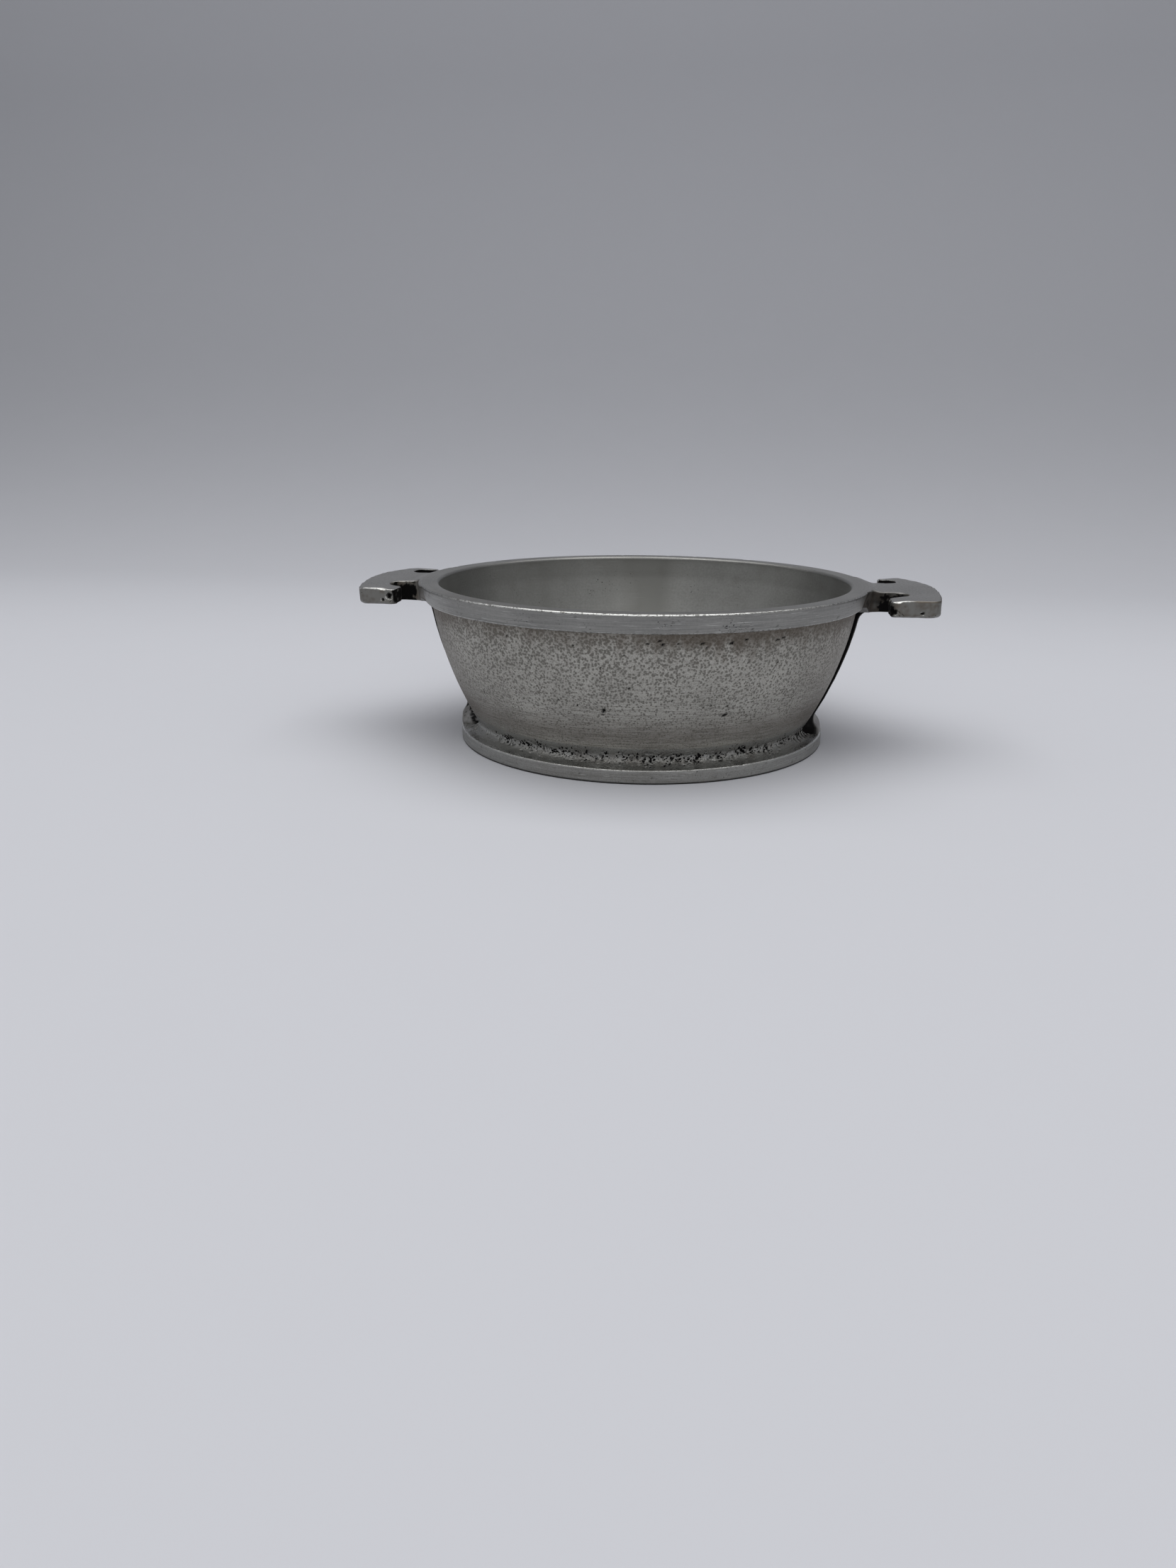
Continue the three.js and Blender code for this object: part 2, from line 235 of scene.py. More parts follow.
class PotSizes(PropertyGroup):
    """The pot's sizes: the main ones come from the CAD frame"""

    rim_radius: length("Rim radius", "Outside radius of the rim band", RIM_HIGH.x)
    rim_width: length("Rim width", "Width of the rim's flat top", 7.1 * MM)
    rim_taper: FloatProperty(
        name="Rim taper", description="Slant of the rim band's outer face",
        default=math.radians(16), unit="ROTATION",
    )
    rim_outer_round: length("Rim outer round", "Round of the rim's outer top edge", 0.75 * MM)
    rim_inner_round: length("Rim inner round", "Round of the rim's inner top edge", 1.2 * MM)
    rim_lower_round: length("Rim lower round", "Round of the rim band's lower edge", 1.0 * MM)
    rim_wave: length("Rim wave", "Unevenness of the rim band", 0.04 * MM)
    nick_depth: length("Nick depth", "Depth of the knocks on the turned edges", 0.22 * MM)

    wall_top_radius: length("Wall top radius", "Outside radius of the wall under the rim", WALL_HIGH.x)
    wall_foot_radius: length("Wall foot radius", "Outside radius of the wall above the foot", 68.3 * MM)
    wall_bulge: length("Wall bulge", "How far the wall bulges from a straight cone", 2.42 * MM)
    wall_thickness: length("Wall thickness", "Thickness of the bowl's wall", 3.4 * MM)
    fleck_size: length("Fleck size", "Spacing of the pebbled wall's flecks", 1.0 * MM)
    pebble_depth: length("Pebble depth", "Depth of the pebbled wall's soft hollows", 0.07 * MM)
    wall_pit_depth: length("Wall pit depth", "Depth of the wall's single casting pits", 0.45 * MM)
    wall_wave: length("Wall wave", "Unevenness of the wall", 0.08 * MM)

    floor_fillet: length("Floor fillet", "Round between the inside floor and the wall", 7.0 * MM)
    lining_wave: length("Lining wave", "Unevenness of the bowl's inside", 0.05 * MM)

    foot_radius: length("Foot radius", "Outside radius of the foot band", FOOT_HIGH.x)
    foot_band_height: length("Foot band height", "Height of the foot's turned band", 5.3 * MM)
    foot_edge_round: length("Foot edge round", "Round of the foot band's edges", 0.5 * MM)
    foot_bore: length("Foot bore", "Radius of the hollow under the pot", 60.0 * MM)
    cove_width: length("Cove width", "Width of the cove above the foot band", 5.5 * MM)
    pit_depth: length("Pit depth", "Depth of the casting pits in the cove", 0.28 * MM)
    ridge_depth: length("Ridge depth", "Depth of the chatter ridges beside the straps", 0.22 * MM)
    cove_lumps: length("Cove lumps", "Unevenness of the cove", 0.1 * MM)

    right_tip: length("Right handle tip", "Distance of the right handle's tip from the axis", HANDLE_HIGH.x)
    left_tip: length("Left handle tip", "Distance of the left handle's tip from the axis", -LEFT_HANDLE_LOW.x)
    hook_front: length("Front hook side", "Distance of the front hooks' ends from the middle", -HANDLE_LOW.y)
    hook_rear: length("Rear hook side", "Distance of the rear hooks' ends from the middle", HANDLE_HIGH.y)
    handle_round: length("Handle edge round", "Mean round of the handles' worn edges", 0.8 * MM)
    hook_lift: length("Hook lift", "How much thinner than the neck the hooks are, from below", 0.55 * MM)
    hook_sag: length("Hook sag", "How far the hooks' tops are ground down towards the rim", 0.6 * MM)
    neck_width: length("Neck width", "Width of the handle's neck", 27.6 * MM)
    neck_drop: length("Neck drop", "How far the neck's underside hangs below the lug", 0.8 * MM)
    neck_fillet: length("Neck fillet", "Round between the neck and the rim", 1.6 * MM)
    pocket_width: length("Pocket width", "Width of the pocket between neck and hook", 10.2 * MM)
    pocket_depth: length("Pocket depth", "Depth of the pocket behind the hook's face", 8.0 * MM)
    pocket_round: length("Pocket round", "Round of the pocket's corners", 4.6 * MM)
    hook_standoff: length("Hook standoff", "Gap between the rim and the hook's face", 4.5 * MM)
    hook_round: length("Hook round", "Round of the hook's corners", 2.5 * MM)
    pad_proud: length("Pad proud", "How far the unturned pad at the neck stands out from the rim", 1.1 * MM)
    lump_depth: length("Lump depth", "Unevenness of the handles' as-cast sides", 0.3 * MM)
    edge_dent: length("Edge dent", "Depth of the dents in the handles' upper edges", 0.32 * MM)

    strap_top_width: length("Strap top width", "Width of the strap under the handle", 26.0 * MM)
    strap_foot_width: length("Strap foot width", "Width of the strap above the foot", 23.0 * MM)
    strap_proud_top: length("Strap proud top", "How far the strap stands out near its top", 1.6 * MM)
    strap_proud_foot: length("Strap proud foot", "How far the strap stands out near the foot", 0.75 * MM)
    strap_fillet: length("Strap fillet", "Round between the strap and the handle", 4.5 * MM)
    strap_rough: length("Strap roughness", "Unevenness of the straps", 0.2 * MM)


class PotFinishes(PropertyGroup):
    """The pot's colours"""

    turned_metal: colour("Turned metal", "Bright lathe-turned aluminium", "#a2a19d")
    turned_dull: colour("Dull turned metal", "Turned faces that have gone dull", "#767674")
    # Also painted as highlights: on the rim's and foot band's edges, the hooks' edges and round the hooks'
    # voids
    polished_and_highlight: colour("Polished metal", "Edges and crumbs that are rubbed bright", "#d0d0cd")
    wall_metal: colour("Wall metal", "Rubbed high spots of the pebbled wall", "#b8b6af")
    wall_fleck: colour("Wall fleck", "Dull hollows of the pebbled wall", "#787670")
    lining_metal: colour("Lining metal", "Satin metal of the bowl's inside", "#a8a8a5")
    # The dull lining colour also paints the dark reflection bands down the bowl's inside
    lining_dull_and_shade: colour("Dull lining metal", "Bands of the bowl's inside that have gone dull", "#868682")
    cast_metal: colour("Cast metal", "Metal of the handles and straps", "#a4a3a1")
    cast_dull: colour("Dull cast metal", "Unground sides of the handles and straps", "#7e7d79")
    # The brown film colour also paints shade: under the rim, towards the sides, on the rim's top near the
    # light and on the hooks' outer edges
    stain_and_shade: colour("Stain", "Baked-on brown film", "#625a51")
    # The black grime colour also paints shade: a contact shadow under the foot, shade along the straps and
    # under the lugs
    grime_and_shade: colour("Grime", "Black dirt in pits and pockets", "#090808")


class StageSettings(PropertyGroup):
    """The studio round the pot"""

    floor: colour("Floor", "Colour of the floor and the sweep behind it", "#d2d3d8")
    # Painted shade: the sweep's upper part is painted greyer than the floor
    shaded_backdrop: colour("Backdrop", "Colour of the sweep's upper part", "#9c9da2")
    lamp_power: FloatProperty(
        name="Lamp power", description="Power of the overhead soft light", default=15.0, min=0, unit="POWER"
    )
    front_power: FloatProperty(
        name="Front power", description="Power of the soft light behind the camera",
        default=1.5, min=0, unit="POWER",
    )
    air: colour("Air", "Colour of the even light all round", "#f4f5f8")
    fill: FloatProperty(name="Fill", description="Strength of the even light all round", default=0.48, min=0)


def ramp(value, low, high):
    """Rises smoothly from 0 at low to 1 at high, by the curve 3t^2 - 2t^3."""
    t = np.clip((value - low) / (high - low), 0, 1)
    return t * t * (3 - 2 * t)


def bell(value, middle, width):
    """A bell curve: 1 at its middle and 1/e one width away."""
    return np.exp(-((value - middle) / width) ** 2)


def noise(points, size, seed):
    """Gradient noise: random slopes on a cubic lattice of the given size, blended by 6t^5 - 15t^4 + 10t^3."""
    slopes = np.random.default_rng(seed).uniform(-1, 1, (LATTICE, LATTICE, LATTICE, 3))
    cell = points / size
    base = np.floor(cell).astype(int)
    inside = cell - base
    fade = inside ** 3 * (inside * (6 * inside - 15) + 10)
    total = np.zeros(points.shape[:-1])
    for corner in np.ndindex(2, 2, 2):
        slope = slopes[tuple(np.moveaxis((base + corner) % LATTICE, -1, 0))]
        share = np.where(np.array(corner, bool), fade, 1 - fade).prod(-1)
        total += share * ((inside - corner) * slope).sum(-1)
    return total


def azimuth(points):
    """Angle of points round the Z axis, in degrees from +X."""
    return np.degrees(np.arctan2(points[..., 1], points[..., 0]))


def from_azimuth(points, place):
    """Angle in degrees, without sign, between points and an azimuth."""
    return np.abs((azimuth(points) - place + 180) % 360 - 180)


def from_handles(points):
    """Angle in degrees, without sign, between points and the line through both handles."""
    return np.degrees(np.arctan2(np.abs(points[..., 1]), np.abs(points[..., 0])))


def knocks(points, count, low, high, width, seed):
    """Small knocks at random places between two heights: the highest of bell curves of several sizes."""
    places = np.random.default_rng(seed)
    angle = np.arctan2(points[..., 1], points[..., 0])
    total = np.zeros(angle.shape)
    for _ in range(count):
        turn = places.uniform(-np.pi, np.pi)
        level = places.uniform(low, high)
        size = width * places.uniform(0.5, 1.3)
        away = np.angle(np.exp(1j * (angle - turn))) * RIM_HIGH.x
        knock = bell(away, 0, size) * bell(points[..., 2], level, size)
        total = np.maximum(total, knock * places.uniform(0.3, 1))
    return total


def arc(centre, radius, start, end, spacing=0.12 * MM):
    """Points along a circle from one angle to another, in degrees, about one spacing apart."""
    sweep = np.radians(end - start)
    count = max(5, int(abs(sweep) * radius / spacing))
    angle = np.radians(start) + np.linspace(0, sweep, count)
    return np.column_stack((centre[0] + radius * np.cos(angle), centre[1] + radius * np.sin(angle)))


def spread(points, spacing=None, count=None):
    """Points about one spacing apart, or a given count, along straight stretches, with both ends kept."""
    points = np.asarray(points, float)
    run = np.concatenate(([0], np.cumsum(np.linalg.norm(np.diff(points, axis=0), axis=1))))
    steps = np.linspace(0, run[-1], count or max(2, int(round(run[-1] / spacing)) + 1))
    return np.column_stack([np.interp(steps, run, axis) for axis in points.T])


def joined(*stretches):
    """One line from several stretches, with the point that two neighbours share kept once."""
    points = np.concatenate(stretches)
    apart = np.linalg.norm(np.diff(points, axis=0), axis=1) > 1e-7
    return points[np.concatenate(([True], apart))]


def softened(points, window):
    """A line whose corners are rounded: each point becomes the mean of its neighbours, with the ends kept."""
    half = window // 2
    head = 2 * points[0] - points[half:0:-1]
    tail = 2 * points[-1] - points[-2:-half - 2:-1]
    longer = np.concatenate((head, points, tail))
    kernel = np.ones(2 * half + 1) / (2 * half + 1)
    return np.column_stack([np.convolve(axis, kernel, "valid") for axis in longer.T])


def turned(profile, columns, closed=True):
    """A profile of radius and height carried round the Z axis: points and outward normals on a grid."""
    along = np.roll(profile, -1, 0) - np.roll(profile, 1, 0) if closed else np.gradient(profile, axis=0)
    along = along / np.linalg.norm(along, axis=1, keepdims=True)
    angle = np.linspace(0, 2 * np.pi, columns, endpoint=False)
    spoke = np.stack((np.cos(angle), np.sin(angle), np.zeros(columns)), axis=-1)[None]
    rise = np.array((0, 0, 1.0))
    points = profile[:, 0, None, None] * spoke + profile[:, 1, None, None] * rise
    normals = along[:, 1, None, None] * spoke - along[:, 0, None, None] * rise
    return points, normals


def grid_faces(rows, columns, closed=True):
    """Four-sided faces of a grid that closes across its columns, and across its rows if asked."""
    ids = np.arange(rows * columns).reshape(rows, columns)
    below = ids if closed else ids[:-1]
    above = np.roll(ids, -1, 0) if closed else ids[1:]
    return np.stack((below, np.roll(below, -1, 1), np.roll(above, -1, 1), above), axis=-1).reshape(-1, 4)


def fan_faces(centre, rim, inwards):
    """Three-sided faces between one point and a closed ring of points."""
    nearby = np.roll(rim, -1)
    ring = (rim, nearby) if inwards else (nearby, rim)
    return np.stack((*ring, np.full_like(rim, centre)), axis=-1)


def capped_faces(rows, columns):
    """Faces of an open tube's grid and fans over its ends, whose middles come after the grid's points."""
    ids = np.arange(rows * columns).reshape(rows, columns)
    return [
        grid_faces(rows, columns, closed=False),
        fan_faces(ids.size, ids[0], inwards=False),
        fan_faces(ids.size + 1, ids[-1], inwards=True),
    ]


def add_piece(name, points, faces, material, nodes, marks):
    """Puts points and faces into a mesh, with its marks, and makes it ride on the pot's body."""
    points = np.asarray(points, np.float32).reshape(-1, 3)
    corners = np.concatenate([block.ravel() for block in faces])
    sides = np.concatenate([np.full(len(block), block.shape[1]) for block in faces])
    mesh = bpy.data.meshes.new(name)
    mesh.vertices.add(len(points))
    mesh.vertices.foreach_set("co", points.ravel())
    mesh.loops.add(len(corners))
    mesh.loops.foreach_set("vertex_index", corners.astype(np.int32))
    mesh.polygons.add(len(sides))
    mesh.polygons.foreach_set("loop_start", (np.cumsum(sides) - sides).astype(np.int32))
    mesh.update(calc_edges=True)
    if mesh.validate():
        raise RuntimeError(f"{name} has faces that do not hold together")
    mesh.shade_smooth()
    mesh.set_sharp_from_angle(angle=SHARP_ANGLE)
    for title, values in marks.items():
        layer = mesh.attributes.new(title, "FLOAT", "POINT")
        layer.data.foreach_set("value", np.asarray(values, np.float32).ravel())
    mesh.materials.append(material)
    piece = bpy.data.objects.new(name, mesh)
    bpy.context.scene.collection.objects.link(piece)
    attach(piece, BODY)
    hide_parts(*nodes)
    return piece


def shader(tree, kind, inputs=None, **settings):
    """Adds one shader node, sets its settings, and fills or links its inputs."""
    made = tree.nodes.new("ShaderNode" + kind)
    for name, value in settings.items():
        setattr(made, name, value)
    for name, value in (inputs or {}).items():
        if isinstance(value, bpy.types.NodeSocket):
            tree.links.new(value, made.inputs[name])
        else:
            made.inputs[name].default_value = value
    return made


def aluminium(
    name, finishes, metal, dull, roughness, grain,
    lines=None, flecks=0, specks=Specks(1.5 * MM, 1.5 * MM), way="ADD",
):
    """Aluminium with a cast grain, turning lines round the axis if it was turned, and the piece's own marks.

    flecks is the spacing of the dull flecks. way is ADD where the profile widens upwards and SUBTRACT where
    it narrows, so that patterns run across the profile. The piece's attributes say how thickly flecks and
    specks lie, where stain, grime and polish are, and how strongly the turning lines show. Stain and grime
    also carry painted shade, and polish carries painted highlights.
    """
    material = bpy.data.materials.new(name)
    material.use_nodes = True
    tree = material.node_tree
    tree.nodes.clear()

    # Place of a point: the direction from the axis, and its run along the profile
    place = shader(tree, "TexCoord").outputs["Object"]
    flat = shader(tree, "VectorMath", {0: place, 1: (1, 1, 0)}, operation="MULTIPLY").outputs[0]
    spoke = shader(tree, "VectorMath", {0: flat}, operation="NORMALIZE").outputs[0]
    radius = shader(tree, "VectorMath", {0: flat}, operation="LENGTH").outputs["Value"]
    height = shader(tree, "SeparateXYZ", {0: place}).outputs["Z"]
    run = shader(tree, "Math", {0: height, 1: radius}, operation=way).outputs[0]

    # Patterns that run alike in all directions, and the piece's own marks
    patterns = ((grain.size, 4.0, "Fac"), (CLOUD_SIZE, 3.0, "Fac"), (WOBBLE_SIZE, 1.0, "Color"))
    cast, cloud, wobble = [
        shader(tree, "TexNoise", {"Vector": place, "Scale": 1 / size, "Detail": detail}).outputs[output]
        for size, detail, output in patterns
    ]
    given = {
        title: shader(tree, "Attribute", attribute_name=title).outputs["Fac"]
        for title in ("fleck", "speck", "stain_and_shade", "grime_and_shade", "polish_and_highlight", "brushed")
    }

    def drawn_out(width, stretch):
        """Pattern coordinates whose unit is the width across the profile and the stretch round the axis."""
        around = shader(tree, "VectorMath", {0: spoke, "Scale": RIM_HIGH.x / stretch}, operation="SCALE")
        across = shader(tree, "Math", {0: run, 1: 1 / width}, operation="MULTIPLY")
        step = shader(tree, "CombineXYZ", {"Z": across.outputs[0]})
        both = {0: around.outputs[0], 1: step.outputs[0]}
        return shader(tree, "VectorMath", both, operation="ADD").outputs[0]

    def spots(where, spacing, wobbling, density, growth, edge, full):
        """Ragged spots round the middles of irregular cells, whose places are shifted by the wobble.

        The distance from a middle, less growth times density, makes a spot: none at edge, all at full.
        """
        shift = {0: wobble, 1: (wobbling,) * 3, 2: where}
        cells = shader(tree, "VectorMath", shift, operation="MULTIPLY_ADD").outputs[0]
        away = shader(tree, "TexVoronoi", {"Vector": cells, "Scale": 1 / spacing}).outputs["Distance"]
        room = shader(tree, "Math", {0: density, 1: -growth, 2: away}, operation="MULTIPLY_ADD").outputs[0]
        return shader(tree, "MapRange", {0: room, 1: edge, 2: full}).outputs[0]

    # Flecks and specks, which grow with the piece's own density
    fleck = given["fleck"]
    if flecks:
        fleck = spots(place, flecks, WOBBLE_SIZE, fleck, FLECK_GROWTH, edge=0.32, full=0.08)
    speck = spots(drawn_out(*specks), 1.0, 0.5, given["speck"], SPECK_GROWTH, edge=0.06, full=0.0)
    grime_and_shade = shader(tree, "Math", {0: given["grime_and_shade"], 1: speck}, operation="MAXIMUM").outputs[0]

    # What shades the metal, what lies over it, and what is raised or sunk
    # Painted highlights: the polish attribute, broken into crumbs by the grain, lays on the bright polished
    # colour
    crumbs = shader(tree, "MapRange", {0: cast, 1: 0.4, 2: 0.56}).outputs[0]
    rubbed_highlight = shader(tree, "Math", {0: crumbs, 1: given["polish_and_highlight"]}, operation="MULTIPLY").outputs[0]
    tones = [(cloud, CLOUD_TONE), (cast, grain.tone)]
    layers = [(fleck, dull), (rubbed_highlight, finishes.polished_and_highlight), (given["stain_and_shade"], finishes.stain_and_shade)]
    hollows = [(fleck, FLECK_DEPTH), (grime_and_shade, GRIME_AND_SHADE_DEPTH)]
    sheen = cast
    if lines:
        soft = {"Scale": 1.0, "Detail": 2.0, "Roughness": 0.6}
        rings = {"Vector": drawn_out(lines.width, lines.length), **soft}
        turning = shader(tree, "TexNoise", rings).outputs["Fac"]
        sheen = shader(tree, "MapRange", {0: given["brushed"], 3: 0.5, 4: turning}).outputs[0]
        tones.append((sheen, lines.tone))
        hollows.append((sheen, lines.depth))

        # Finer and shorter scratches, some brown and some bright
        fine = {"Vector": drawn_out(lines.width * 0.6, lines.length * 0.3), **soft}
        scratches = shader(tree, "TexNoise", fine).outputs["Fac"]
        for low, high, tint in ((0.34, 0.28, finishes.stain_and_shade), (0.64, 0.7, finishes.polished_and_highlight)):
            scratch = shader(tree, "MapRange", {0: scratches, 1: low, 2: high, 4: 0.6}).outputs[0]
            scored = shader(tree, "Math", {0: scratch, 1: given["brushed"]}, operation="MULTIPLY").outputs[0]
            layers.append((scored, tint))
            hollows.append((scored, lines.depth))
    layers.append((grime_and_shade, finishes.grime_and_shade))

    # Colour: from bright to dull metal by the tones, each about its middle, then the layers in order
    uneven = 0.3 - sum(tone for _, tone in tones) / 2
    for pattern, tone in tones:
        uneven = shader(tree, "Math", {0: pattern, 1: tone, 2: uneven}, operation="MULTIPLY_ADD").outputs[0]
    paint = metal
    for cover, tint in ((uneven, dull), *layers):
        paint = shader(tree, "Mix", {0: cover, 6: paint, 7: tint}, data_type="RGBA").outputs[2]

    # Gloss: polished edges are smoother, flecks, stain and grime are duller
    satin = {0: sheen, 1: 0.3, 2: 0.7, 3: roughness - 0.05, 4: roughness + 0.06}
    gloss = shader(tree, "MapRange", satin).outputs[0]
    for cover, own in ((given["polish_and_highlight"], 0.25), (fleck, 0.5), (given["stain_and_shade"], 0.58), (grime_and_shade, 0.85)):
        gloss = shader(tree, "MapRange", {0: cover, 3: gloss, 4: own}).outputs[0]
    bare = shader(tree, "MapRange", {0: grime_and_shade, 3: 1.0, 4: 0.0}).outputs[0]

    bump = shader(tree, "Bump", {"Height": cast, "Distance": grain.depth}).outputs[0]
    for hollow, depth in hollows:
        sunk = {"Height": hollow, "Distance": depth, "Normal": bump}
        bump = shader(tree, "Bump", sunk, invert=True).outputs[0]
    surface = shader(tree, "BsdfPrincipled", {
        "Base Color": paint, "Metallic": bare, "Roughness": gloss, "Normal": bump, "Specular IOR Level": 0.1,
    })
    shader(tree, "OutputMaterial", {"Surface": surface.outputs[0]})
    return material


def wall_curve(sizes):
    """Centre and radius of the wall's outside arc, from its two ends and its bulge."""
    foot = np.array((sizes.wall_foot_radius, WALL_LOW.z))
    top = np.array((sizes.wall_top_radius, WALL_HIGH.z))
    chord = top - foot
    half = np.linalg.norm(chord) / 2
    radius = (half ** 2 + sizes.wall_bulge ** 2) / (2 * sizes.wall_bulge)
    inwards = np.array((-chord[1], chord[0])) / (2 * half)
    return (foot + top) / 2 + inwards * (radius - sizes.wall_bulge), radius


def wall_line(sizes, low, high, offset):
    """Radius and height along the wall's arc between two heights, offset outwards."""
    centre, radius = wall_curve(sizes)
    height = np.linspace(low, high, 200)
    reach = centre[0] + np.sqrt((radius + offset) ** 2 - (height - centre[1]) ** 2)
    return np.column_stack((reach, height))


def outside_line(sizes):
    """The outside from the foot band's upper edge through the cove and up the wall to inside the rim."""
    edge = sizes.foot_radius - sizes.foot_edge_round
    sweep = np.linspace(np.pi * 1.5, np.pi, 40)
    rise = FOOT_HIGH.z - sizes.foot_band_height
    cove = np.column_stack((edge + sizes.cove_width * np.cos(sweep), FOOT_HIGH.z + rise * np.sin(sweep)))
    wall = wall_line(sizes, WALL_LOW.z, WALL_HIGH.z + TUCK, 0)
    return softened(spread(joined(cove, wall), 0.25 * MM), 12)


def rim_profile(sizes):
    """The rim band's closed section, up its slanted face, over its flat top and back inside the metal."""
    top = RIM_HIGH.z
    seat = RIM_LOW.z
    taper = math.degrees(sizes.rim_taper)
    outer = sizes.rim_outer_round
    lower = sizes.rim_lower_round
    inner = sizes.rim_inner_round
    face = arc((sizes.rim_radius - outer, top - outer), outer, -taper, 90)
    slant = np.array((math.sin(sizes.rim_taper), math.cos(sizes.rim_taper)))
    out = np.array((slant[1], -slant[0]))
    foot = face[0] - slant * (face[0][1] - seat - lower * (1 - slant[0])) / slant[1]
    below = arc(foot - out * lower, lower, -90, -taper)
    inner_centre = (sizes.rim_radius - sizes.rim_width + inner, top - inner)
    lip = arc(inner_centre, inner, 90, 180)
    hidden = inner_centre[0] + 0.4 * MM
    return joined(
        spread([(hidden, seat), below[0]], 0.8 * MM),
        below,
        spread([below[-1], face[0]], 0.4 * MM),
        face,
        spread([face[-1], lip[0]], 0.45 * MM),
        lip,
        spread([lip[-1], (hidden, lip[-1][1] - 0.6 * MM), (hidden, seat + 0.4 * MM)], 1.2 * MM),
    )


def rim_marks(points, facing, outside, dents, scars):
    """Where the rim is rubbed, dull, specked, brushed, stained and black, and where it has painted highlights
    and painted shade, by its azimuth and its facing.

    facing is the upward part of the normal, and outside is 1 on the outer face and 0 further in.
    """
    from_light = from_azimuth(points, RIM_LIGHT)
    from_handle = from_handles(points)
    top = facing > 0.9
    face = ramp(facing, 0.3, 0.05) * outside
    upper_edge = ramp(facing, 0.1, 0.4) * ramp(facing, 0.98, 0.8) * outside
    lower_edge = ramp(facing, -0.35, -0.6) * outside
    lit = ramp(from_light, 42, 22) * np.clip(0.75 + 0.9 * noise(points, 9 * MM, 15), 0, 1)
    near_light = ramp(from_light, 62, 32)
    worn = np.clip(0.75 + 0.6 * noise(points, 25 * MM, 14), 0, 1)
    # Painted highlights: polish brightens the upper edge round the light's azimuth, and the lower edge.
    # Painted shade: fleck and stain darken the top near the light. The face is stained darker towards the
    # handles
    return {
        "polish_and_highlight": upper_edge * np.maximum(4 * lit, 0.7) + 0.7 * lower_edge,
        "fleck": worn * np.where(top, 0.05 + 0.6 * near_light, 0.5),
        "speck": face * (0.9 * noise(points, 8 * MM, 16) + 0.1),
        "brushed": np.where(top, 0.25, 1 - 0.65 * ramp(from_handle, 45, 20)),
        "stain_and_shade": 0.35 * face * ramp(from_handle, 30, 14) + 0.16 * top * near_light,
        "grime_and_shade": scars ** 2 * 0.8 + dents ** 3 * 0.3,
    }


class POT_OT_rim_band(Operator):
    """Build the turned rim band with its knocked edges"""

    bl_idname = "pot.rim_band"
    bl_label = "Rim Band"

    def execute(self, context):
        sizes = context.scene.pot_sizes
        finishes = context.scene.pot_finishes
        profile = rim_profile(sizes)
        points, normals = turned(profile, TURNED_COLUMNS)
        reach = profile[:, 0, None]
        outside = ramp(reach, sizes.rim_radius - 3.5 * MM, sizes.rim_radius - 3 * MM)
        mouth = sizes.rim_radius - sizes.rim_width
        shown = ramp(reach, mouth, mouth + MM)
        edge = RIM_HIGH.z - 0.5 * MM
        dents = outside * knocks(
            points, count=46, low=edge - 0.4 * MM, high=edge + 0.4 * MM, width=0.8 * MM, seed=11
        )
        scars = outside * knocks(points, count=70, low=RIM_LOW.z, high=edge - MM, width=0.55 * MM, seed=12)
        sunk = sizes.nick_depth * (dents + 0.5 * scars) + sizes.rim_wave * (0.5 + noise(points, 22 * MM, 13))
        points = points - normals * (sunk * shown)[..., None]

        # Lathe-turned: fine rings round the band, a painted highlight as a white line on its rubbed front
        # edge and small black scars
        material = aluminium(
            "Lathe-turned cast aluminium", finishes, finishes.turned_metal, finishes.turned_dull, 0.39,
            Grain(size=0.8 * MM, depth=0.02 * MM, tone=0.7),
            Lines(width=0.5 * MM, length=30 * MM, depth=0.008 * MM, tone=2.2),
            specks=Specks(across=0.5 * MM, around=1.6 * MM),
        )
        add_piece(
            "rim_band_turned", points, [grid_faces(len(profile), TURNED_COLUMNS)], material,
            ["rim_band"], rim_marks(points, normals[..., 2], outside, dents, scars),
        )
        return {"FINISHED"}


def wall_profile(sizes):
    """The wall's closed section: its outside above the seam, and a back inside the metal."""
    outside = outside_line(sizes)
    shown = spread(outside[outside[:, 1] >= SEAM_HEIGHT], WALL_STEP)
    back = wall_line(sizes, SEAM_HEIGHT, WALL_HIGH.z + TUCK, -BURIED)[::-1]
    return joined(shown, spread(back, 12 * MM)), len(shown)


def strap_half_width(height, sizes, widening):
    """Half the strap's width at a height: it tapers downwards and widens at the foot."""
    share = np.clip(height / RIM_HIGH.z, 0, 1)
    width = sizes.strap_foot_width + (sizes.strap_top_width - sizes.strap_foot_width) * share
    foot_flare = widening * ramp(height, WALL_LOW.z + 6 * MM, FOOT_LOW.z + 5 * MM)
    return width / 2 + foot_flare


def strap_shadow(points, sizes):
    """Dirt and painted shade that lie on the wall along both edges of each strap."""
    side = np.abs(points[..., 1])
    share = (points[..., 2] - WALL_LOW.z) / (WALL_HIGH.z - WALL_LOW.z)
    widening = np.where(points[..., 0] > 0, TOE_SPREAD["right"][0], TOE_SPREAD["left"][0])
    half = strap_half_width(points[..., 2], sizes, widening)
    near = bell(side, half, 0.7 * MM) * (np.abs(points[..., 0]) > 0.6 * RIM_HIGH.x)
    ragged = 0.6 + 0.9 * noise(points, 2.5 * MM, 31)
    return np.clip(near * ragged * (1.1 - 0.3 * share), 0, 1)


